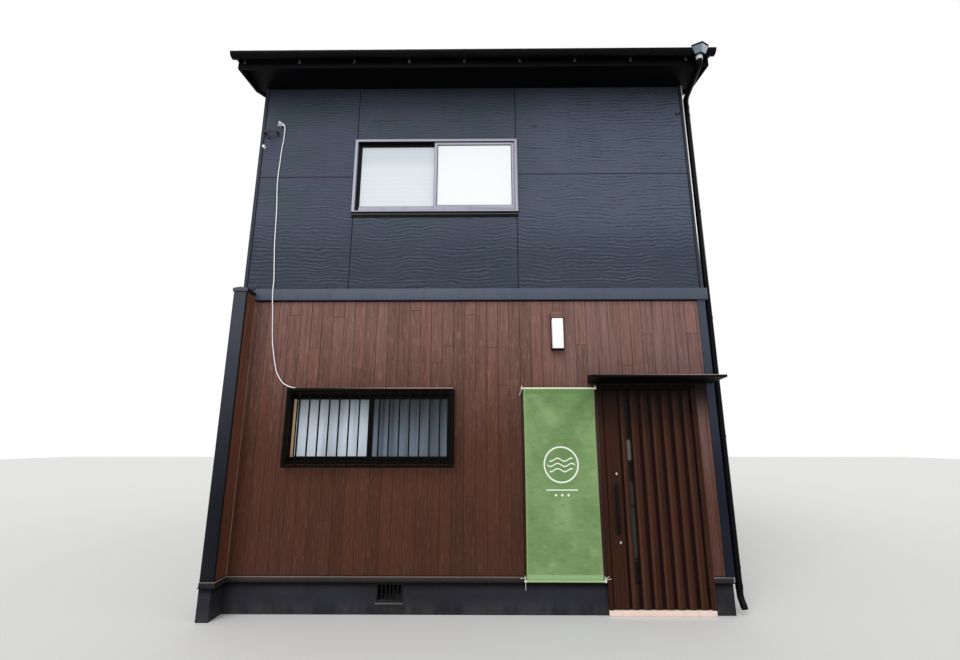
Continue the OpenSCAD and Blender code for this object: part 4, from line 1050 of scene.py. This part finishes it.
glazing, rear_glazing, gaskets = bmesh.new(), bmesh.new(), bmesh.new()
for window, foot, first in ((upper_window, 0.066, 0), (lower_window, 0.034, 2)):
    for k, (left, right, face_y, low, high) in enumerate(pane_spans(*window, foot)):
        rear_y = 2 * ridge_y - face_y
        block(glazing, (left, face_y + 0.0105, low), (right, face_y + 0.0155, high), 0.0004,
              first + k)
        block(rear_glazing, (left, rear_y - 0.0155, low), (right, rear_y - 0.0105, high), 0.0004)
        gasket_ring(gaskets, left, right, face_y + 0.003, low, high)
        gasket_ring(gaskets, left, right, rear_y - 0.011, low, high)
finished("street_panes", glazing, panes, stands_for=["front_window_glass"])
pane_rear = pane_finish("pane_rear", (120, 134, 150), (84, 96, 108), 1.4, 4.8)
finished("rear_panes", rear_glazing, [pane_rear],
         stands_for=["rear_window_glass"])
finished("window_gaskets", gaskets, [gasket_rubber])

# Window grille
# Dark bronze aluminium: square section rails with upright bars 98 mm apart, and four arms that
# stand them off the wall in front of the lower window.
dressed("window_grille", 0.0015, [bronze_metal])

# Entrance
# A steel-skinned door leaf with a printed dark brown skin and round upright ribs, hung on three
# pin hinges in a rebated frame, with a narrow glazed slit, a slim black pull and two locks.
door_skin, tree, shader = new_finish("door_skin", (58, 33, 24), 0.5, 0.0,
                                     {"Specular IOR Level": 0.06})
place = object_place(tree)
fibre = clouds(stretched(place, (190, 190, 2.0)), 1.0, 5.0, 0.6)
figure = clouds(stretched(place, (32, 32, 0.7)), 1.0, 3.0)
# Painted light on the ribs: sides that face left are lightened and sides that face right darkened.
aside = xyz(add_node(tree, "NewGeometry").outputs["Normal"])[0]
tint = mixed(eased(figure, 0.35, 0.7), (62, 36, 26), (46, 26, 18))
tint = faded(place, tint, [("X", 1.4365, 1.4355, 0.7, (52, 29, 19))])
tint = layered(tint, [(fibre, 0.5, 0.7, 0.6, (30, 18, 13)),
                      (fibre, 0.45, 0.3, 0.35, (90, 58, 45)),
                      (aside, -0.06, -0.35, 0.34, (92, 60, 48)),
                      (aside, 0.08, 0.4, 0.3, (38, 20, 11))])
# Painted shade: the recessed faces between the ribs are darkened.
# Painted shadow: the door and its frame darken from 1.5 m up to near black under the canopy.
tint = faded(place, tint, [("Y", -0.0802, -0.0772, 0.88, (16, 2, 0)),
                           ("Z", 1.5, 1.95, 0.6, (14, 8, 7)),
                           ("Z", 1.9, 2.05, 0.8, (6, 4, 3))])
link(tint, shader, "Base Color")
link(eased(fibre, 0.35, 0.7, 0.44, 0.6), shader, "Roughness")
raise_bumps(shader, fibre, 0.0004)
jamb_brown = weathered("jamb_brown", (70, 46, 38), 0.5, patch=(78, 54, 46),
                       shares=(0.6, 0.3, 0.2, 0.4))
steel = weathered("brushed_steel", (170, 170, 168), 0.3, 0.95, shares=(0.4, 0.2, 0.3, 0.3))
dark_steel = weathered("dark_steel", (26, 22, 20), 0.4, 0.4, shares=(0.4, 0.2, 0.3, 0.3))
hinge_jamb_x, lock_ring_y = 2.10, -0.0975
dressed("door_frame", 0.0015, [door_skin, jamb_brown],
        pick=lambda at, facing: at.x > hinge_jamb_x)
dressed("door_leaf", 0.0, [door_skin], body="door")
dressed("hinge_pins", 0.0006, [dark_steel])
dressed("hinge_knuckles", 0.0, [dark_steel], body="door")
dressed("door_locks", 0.0010, [dark_steel, steel], body="door",
        pick=lambda at, facing: at.y < lock_ring_y)
pull_black = weathered("pull_black", (12, 11, 11), 0.35, 0.3, shares=(0.4, 0.2, 0.1, 0.4))
dressed("door_pull", 0.002, [pull_black], body="door")
# Painted shadow: a dark plate behind the pull widens its dark mark, standing for the pull's shadow.
block_piece("pull_shadow_plate", (1.350, -0.0862, 0.685), (1.394, -0.0838, 1.175), 0.0008,
            weathered("pull_shadow_brown", (34, 20, 14), 0.5), "door")
slit_glass, tree, shader = new_finish("slit_glass", (16, 13, 12), 0.4, 0.0, {
    "IOR": 1.5, "Specular IOR Level": 0.1})
place = object_place(tree)
# Pale reflections down the slit, as height, half height, strength and colour.
slit_x = 1.526
gleams = [(1.45, 0.10, 0.8, (104, 104, 100)), (1.05, 0.12, 0.5, (66, 64, 58)),
          (0.70, 0.24, 0.6, (60, 66, 60))]
tint = washed((16, 13, 12), [(spot(place, slit_x, z, 0.05, half_h), share, colour)
                             for z, half_h, share, colour in gleams])
link(tint, shader, "Base Color")
dressed("door_glass", 0.0, [slit_glass], body="door")

# Canopy
# A thin wedge of dark bronze sheet on a hidden frame, fixed to the wall over the door, with a
# painted highlight along its front lip that grows brighter to the right.
canopy_sheet = weathered("canopy_sheet", (7, 5, 5), 0.5, 0.1, patch=(9, 7, 7),
                         dust=(70, 64, 62), shares=(0.6, 0.3, 0.1, 0.6),
                         sockets={"Specular IOR Level": 0.05})
dressed("canopy", 0.0016, [canopy_sheet])
# Painted highlight: a thin strip along the canopy's front lip, brighter towards the right.
lip_highlight = weathered("lip_highlight", (64, 56, 56), 0.4, patch=(72, 64, 64),
                     fades=[("X", 1.25, 2.3, 1.0, (160, 142, 142))])
(left, right), (front, back), (foot, head) = measured("canopy")
block_piece("canopy_lip_highlight", (left + 0.004, front - 0.0015, head - 0.0415),
            (right - 0.004, front + 0.006, head - 0.0355), 0.0008, lip_highlight)

# Wall lamp
# An oblong opal diffuser between two cast end caps, on a dark bronze back plate that is fixed to
# the boards left of the door.
(left, right), (front, back), (foot, head) = measured("wall_lamp_base")
shape = bmesh.new()
cap_foot, cap_back = head - 0.064, back - 0.019
block(shape, (left, back - 0.020, foot), (right, back, head), 0.002)
block(shape, (left, front, cap_foot), (right, cap_back, head), 0.004)
block(shape, (left, front, foot), (right, cap_back, foot + 0.0085), 0.002)
for face in shape.faces:
    face.material_index = int(face.calc_center_median().z > cap_foot - 0.01)
smooth_rounds(shape)
lamp_cap = weathered("lamp_cap", (112, 84, 76), 0.4, patch=(130, 104, 96))
finished("wall_lamp_back", shape, [bronze_metal, lamp_cap],
         stands_for=["wall_lamp_base"])
opal, tree, shader = new_finish("opal", (254, 254, 252), 0.4, 0.0, {
    "Subsurface Weight": 0.2, "Subsurface Radius": (0.01, 0.01, 0.01)})
soft = clouds(object_place(tree), 9.0, 3.0)
link(layered((255, 255, 254), [(soft, 0.35, 0.7, 0.5, (249, 249, 246))]), shader,
     "Base Color")
block_piece("wall_lamp_opal", (left + 0.008, front + 0.003, foot + 0.008),
            (right - 0.007, back - 0.018, head - 0.069), 0.007, opal,
            stands_for=["wall_lamp_diffuser"])

# Banner
# A green cotton banner, 700 mm wide, hemmed round two rods that hang on wall hooks, and tied at
# the corners with white string. Folds run down it from both upper corners, where it is held.
cloth_low, cloth_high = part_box("banner")
cloth_y = (cloth_low.y + cloth_high.y) / 2
cloth_w, cloth_h = cloth_high.x - cloth_low.x, cloth_high.z - cloth_low.z


def cloth_fold(x, down):
    """How far the cloth stands out from its flat place, in metres."""
    held = min(1, down / 0.12) * min(1, max(0, cloth_h - down) / 0.16)
    slanting = 0
    for side, turns, size, start in ((x, 9.0, 1.0, 0.8), (cloth_w - x, 8.0, 0.7, 0.0)):
        reach = math.hypot(side, down)
        slanting += size * (min(1, reach / 0.25) * math.exp(-(reach / 1.1) ** 2)
                            * math.sin(turns * math.atan2(side, down + 1e-6) + start))
    soft = 0.45 * math.sin(7.0 * x + 1.6 * down + 1.0) + 0.25 * math.sin(13.0 * x - 2.3 * down)
    return 0.008 * held * (slanting + soft)


cloth = bmesh.new()
cloth.loops.layers.uv.new("weave")
bmesh.ops.create_grid(cloth, x_segments=64, y_segments=150, size=0.5, calc_uvs=True)
fold_value = cloth.verts.layers.float.new("fold")
for vert in cloth.verts:
    across, down = vert.co.x + 0.5, 0.5 - vert.co.y
    out = cloth_fold(across * cloth_w, down * cloth_h)
    vert[fold_value] = out / 0.02 + 0.5
    pinch = 0.005 * math.sin(math.pi * down) * (2 * across - 1)
    vert.co = (cloth_low.x + across * cloth_w - pinch, cloth_y - out,
               cloth_high.z - down * cloth_h)
for face in cloth.faces:
    face.smooth = True
if cloth.faces[:][0].normal.y > 0:
    bmesh.ops.reverse_faces(cloth, faces=cloth.faces[:])

green_cloth, tree, shader = new_finish("green_cloth", (116, 146, 94), 0.85, 0.0, {
    "Sheen Weight": 0.15, "Sheen Roughness": 0.5})
weave = add_node(tree, "UVMap", uv_map="weave").outputs[0]
across, upward = xyz(weave)[:2]


def threads(value, count):
    return sine(product(value, count * 2 * math.pi))


def strip_mask(away, half_width):
    """1 where the size of a distance is under the half width."""
    return eased(maths("ABSOLUTE", away), half_width + 0.0018, half_width)


def in_metres(value, centre, size):
    """A map coordinate as metres from a centre."""
    return product(sum_of(value, -centre), size)


def spot_mask(x, z, centre_x, centre_z, radius, line=0.0):
    """1 within a printed dot, or along a ring of that line width."""
    away = distance(fed("CombineXYZ", {0: sum_of(x, -centre_x), 1: sum_of(z, -centre_z),
                                       2: 0.0}))
    if line:
        return strip_mask(sum_of(away, -radius), line / 2)
    return strip_mask(away, radius)


def joined(masks):
    """1 where any of the masks is."""
    whole = masks[0]
    for mask in masks[1:]:
        whole = maths("MAXIMUM", whole, mask)
    return whole


# The print: a ring with three waves across it, a short rule, and three dots.
map_w, map_h = 0.70, 1.734
print_x, print_z = in_metres(across, 0.5, map_w), in_metres(upward, 0.585, map_h)
swell = product(sine(product(print_x, 46.0)), 0.014)
prints = [spot_mask(print_x, print_z, 0.0, 0.0, 0.163, 0.013)]
for drop, half in ((0.045, 0.112), (-0.003, 0.135), (-0.051, 0.112)):
    line = strip_mask(sum_of(sum_of(print_z, -drop), swell), 0.0050)
    prints.append(product(line, strip_mask(print_x, half)))
rule = strip_mask(sum_of(print_z, 0.232), 0.0045)
prints.append(product(rule, strip_mask(print_x, 0.150)))
for x in (-0.06, 0.0, 0.06):
    prints.append(spot_mask(print_x, print_z, x, -0.278, 0.011))

worn = clouds(object_place(tree), 2.4, 4.0)
crease = stored(tree, "fold")
billows = clouds(stretched(weave, (2.2, 4.5, 1)), 1.0, 2.0)
crumples = clouds(stretched(weave, (7, 46, 1)), 1.0, 4.0, 0.55)
slubs = clouds(stretched(weave, (60, 900, 1)), 1.0, 3.0)
shade = product(eased(across, 0.6, 1.0), eased(upward, 0.80, 0.99))
# Painted light and shade on the folds: darker where the cloth lies back and lighter where it stands
# out, with the billows and crumples painted as dark and light patches.
tint = layered(mixed(eased(worn, 0.35, 0.7), (110, 142, 90), (122, 151, 100)), [
    (crease, 0.45, 0.05, 0.3, (90, 120, 74)), (crease, 0.55, 0.95, 0.25, (142, 172, 120)),
    (billows, 0.5, 0.68, 0.4, (94, 124, 76)), (billows, 0.48, 0.32, 0.4, (144, 173, 122)),
    (crumples, 0.54, 0.68, 0.45, (94, 124, 76)), (crumples, 0.44, 0.3, 0.4, (142, 170, 120)),
    (slubs, 0.52, 0.7, 0.3, (96, 126, 78))])
tint = layered(washed(tint, [(shade, 0.6, (74, 96, 56))]), [
    (upward, 0.972, 0.976, 0.7, (92, 128, 78)), (upward, 0.029, 0.024, 0.8, (148, 178, 130)),
    (across, 0.026, 0.010, 0.4, (150, 176, 126)), (across, 0.978, 0.990, 0.6, (134, 144, 108))])
link(mixed(joined(prints), tint, (232, 236, 226)), shader, "Base Color")
seams = sum_of(strip_mask(in_metres(upward, 0.974, map_h), 0.0015),
               strip_mask(in_metres(upward, 0.0265, map_h), 0.0015))
warp = sum_of(threads(across, 460), threads(upward, 1100))
relief = sum_of(sum_of(product(warp, 0.1), slubs), product(seams, -1.0))
relief = sum_of(relief, product(crumples, 5.0))
raise_bumps(shader, relief, 0.0005)
banner_cloth = finished("banner_cloth", cloth, [green_cloth],
                        stands_for=["banner"])
thickness = banner_cloth.modifiers.new("cloth_thickness", "SOLIDIFY")
thickness.thickness = 0.0007
thickness.offset = 0.0

shape = bmesh.new()
rods_at = (cloth_low.z - 0.008, cloth_high.z + 0.008)
for z in rods_at:
    round_bar(shape, cloth_w, (0.0095, 0.0095), ((cloth_low.x + cloth_high.x) / 2, cloth_y, z),
              along_x, capped=False)
bmesh.ops.solidify(shape, geom=shape.faces[:], thickness=0.0007)
smooth_rounds(shape, 60)
hem_cloth = weathered("hem_cloth", (150, 178, 130), 0.85, patch=(162, 188, 142), grain=0.0004,
                      shares=(0.6, 0.2, 0.2, 0.0),
                      fades=[("Z", 1.0, 1.6, 1.0, (224, 226, 194))])
hems = finished("banner_hems", shape, [hem_cloth])


def tie_string(shape, pins):
    """Soft string through points, as short round lengths with a round end at each point."""
    for start, end in zip(pins, pins[1:]):
        run = end - start
        round_bar(shape, run.length, (0.0018, 0.0018), (start + end) / 2,
                  run.to_track_quat("Z", "Y").to_matrix(), segments=8, capped=False)
    for pin in pins:
        knot = bmesh.ops.create_icosphere(shape, subdivisions=2, radius=0.00189)["verts"]
        bmesh.ops.translate(shape, vec=pin, verts=knot)


shape = bmesh.new()
string_y = cloth_y - 0.0115
for route in ([(0.497, 2.062), (0.486, 2.052), (0.490, 2.036), (0.478, 2.008), (0.470, 1.983)],
              [(0.447, 0.323), (0.466, 0.324), (0.486, 0.330), (0.496, 0.314), (0.499, 0.298)],
              [(0.496, 0.314), (0.493, 0.275), (0.494, 0.229)],
              [(1.213, 0.300), (1.224, 0.320), (1.238, 0.334), (1.251, 0.341)],
              [(1.224, 0.320), (1.248, 0.318), (1.271, 0.323)],
              [(1.224, 0.320), (1.231, 0.306), (1.225, 0.290)],
              [(1.212, 2.040), (1.222, 2.052), (1.216, 2.062), (1.206, 2.054)]):
    tie_string(shape, [Vector((x, string_y, z)) for x, z in route])
for x, z in ((0.490, rods_at[1]), (0.499, rods_at[0]), (1.219, rods_at[0]), (1.214, rods_at[1])):
    round_bar(shape, 0.006, (0.0112, 0.0112), (x, cloth_y, z), along_x, capped=False)
smooth_rounds(shape, 60)
white_string = weathered("white_string", (236, 236, 226), 0.8, shares=(0.5, 0.2, 0.3, 0.2))
ties = finished("banner_ties", shape, [white_string])
pale_rod = weathered("pale_rod", (222, 218, 204), 0.45, shares=(0.5, 0.2, 0.2, 0.4))
dressed("banner_rods", 0.0, [pale_rod])

# Service bracket
# A galvanised strap arm on two wall plates with a clamp rod for the cable, a white porcelain knob
# under it, and the small box that the cable leaves.
porcelain = weathered("porcelain", (232, 231, 226), 0.22, shares=(0.4, 0.2, 0.2, 0.5))
dull_zinc = weathered("dull_zinc", (48, 50, 58), 0.5, 0.3, patch=(62, 64, 72),
                      shares=(0.8, 0.5, 0.4, 0.3))
box_grey = weathered("box_grey", (150, 154, 160), 0.5, shares=(0.4, 0.3, 0.2, 0.4))
shape = bmesh.new()
hood_low, hood_high = Vector((-2.147, -0.093, 5.046)), Vector((-2.219, -0.093, 5.097))
round_bar(shape, 0.088, (0.0125, 0.0085), (hood_low + hood_high) / 2,
          (hood_low - hood_high).to_track_quat("Z", "Y").to_matrix(), segments=16)
ease_edges(shape, 0.003)
smooth_rounds(shape)
finished("cable_hood", shape, [weathered("hood_grey", (216, 214, 222), 0.45)])
box_foot, knob_head, knob_side = 5.02, 4.80, -2.33
dressed("service_bracket", 0.0, [dull_zinc, porcelain, box_grey],
        pick=lambda at, facing: 2 if at.z > box_foot
        else int(at.z < knob_head and at.x < knob_side))

# Stage
# A plain pale floor under a white sky, with level soft light from all round and one broad lamp
# from the street side.
ground = bmesh.new()
bmesh.ops.create_grid(ground, x_segments=1, y_segments=1, size=40)
bmesh.ops.translate(ground, vec=(0, 3, -0.002), verts=ground.verts)
mesh = bpy.data.meshes.new("pale_floor")
ground.to_mesh(mesh)
ground.free()
floor = bpy.data.objects.new("pale_floor", mesh)
scene.collection.objects.link(floor)
mesh.materials.append(new_finish("floor_pale", (226, 226, 224), 0.9)[0])

world = bpy.data.worlds.new("white_sky")
scene.world = world
world.use_nodes = True
tree = world.node_tree
sky = tree.nodes["Background"]
rays = add_node(tree, "LightPath").outputs
seen = joined([rays["Is Camera Ray"], rays["Is Glossy Ray"], rays["Is Transmission Ray"]])
fill(sky, {"Color": (255, 255, 255),
           "Strength": fed("MapRange", {"Value": seen, "To Min": 0.72, "To Max": 1.0})})

lamp = bpy.data.lights.new("street_lamp", "SUN")
lamp.energy = 1.5
lamp.angle = math.radians(50)
sun = bpy.data.objects.new("street_lamp", lamp)
sun.rotation_euler = (math.radians(52), 0, math.radians(-18))
scene.collection.objects.link(sun)
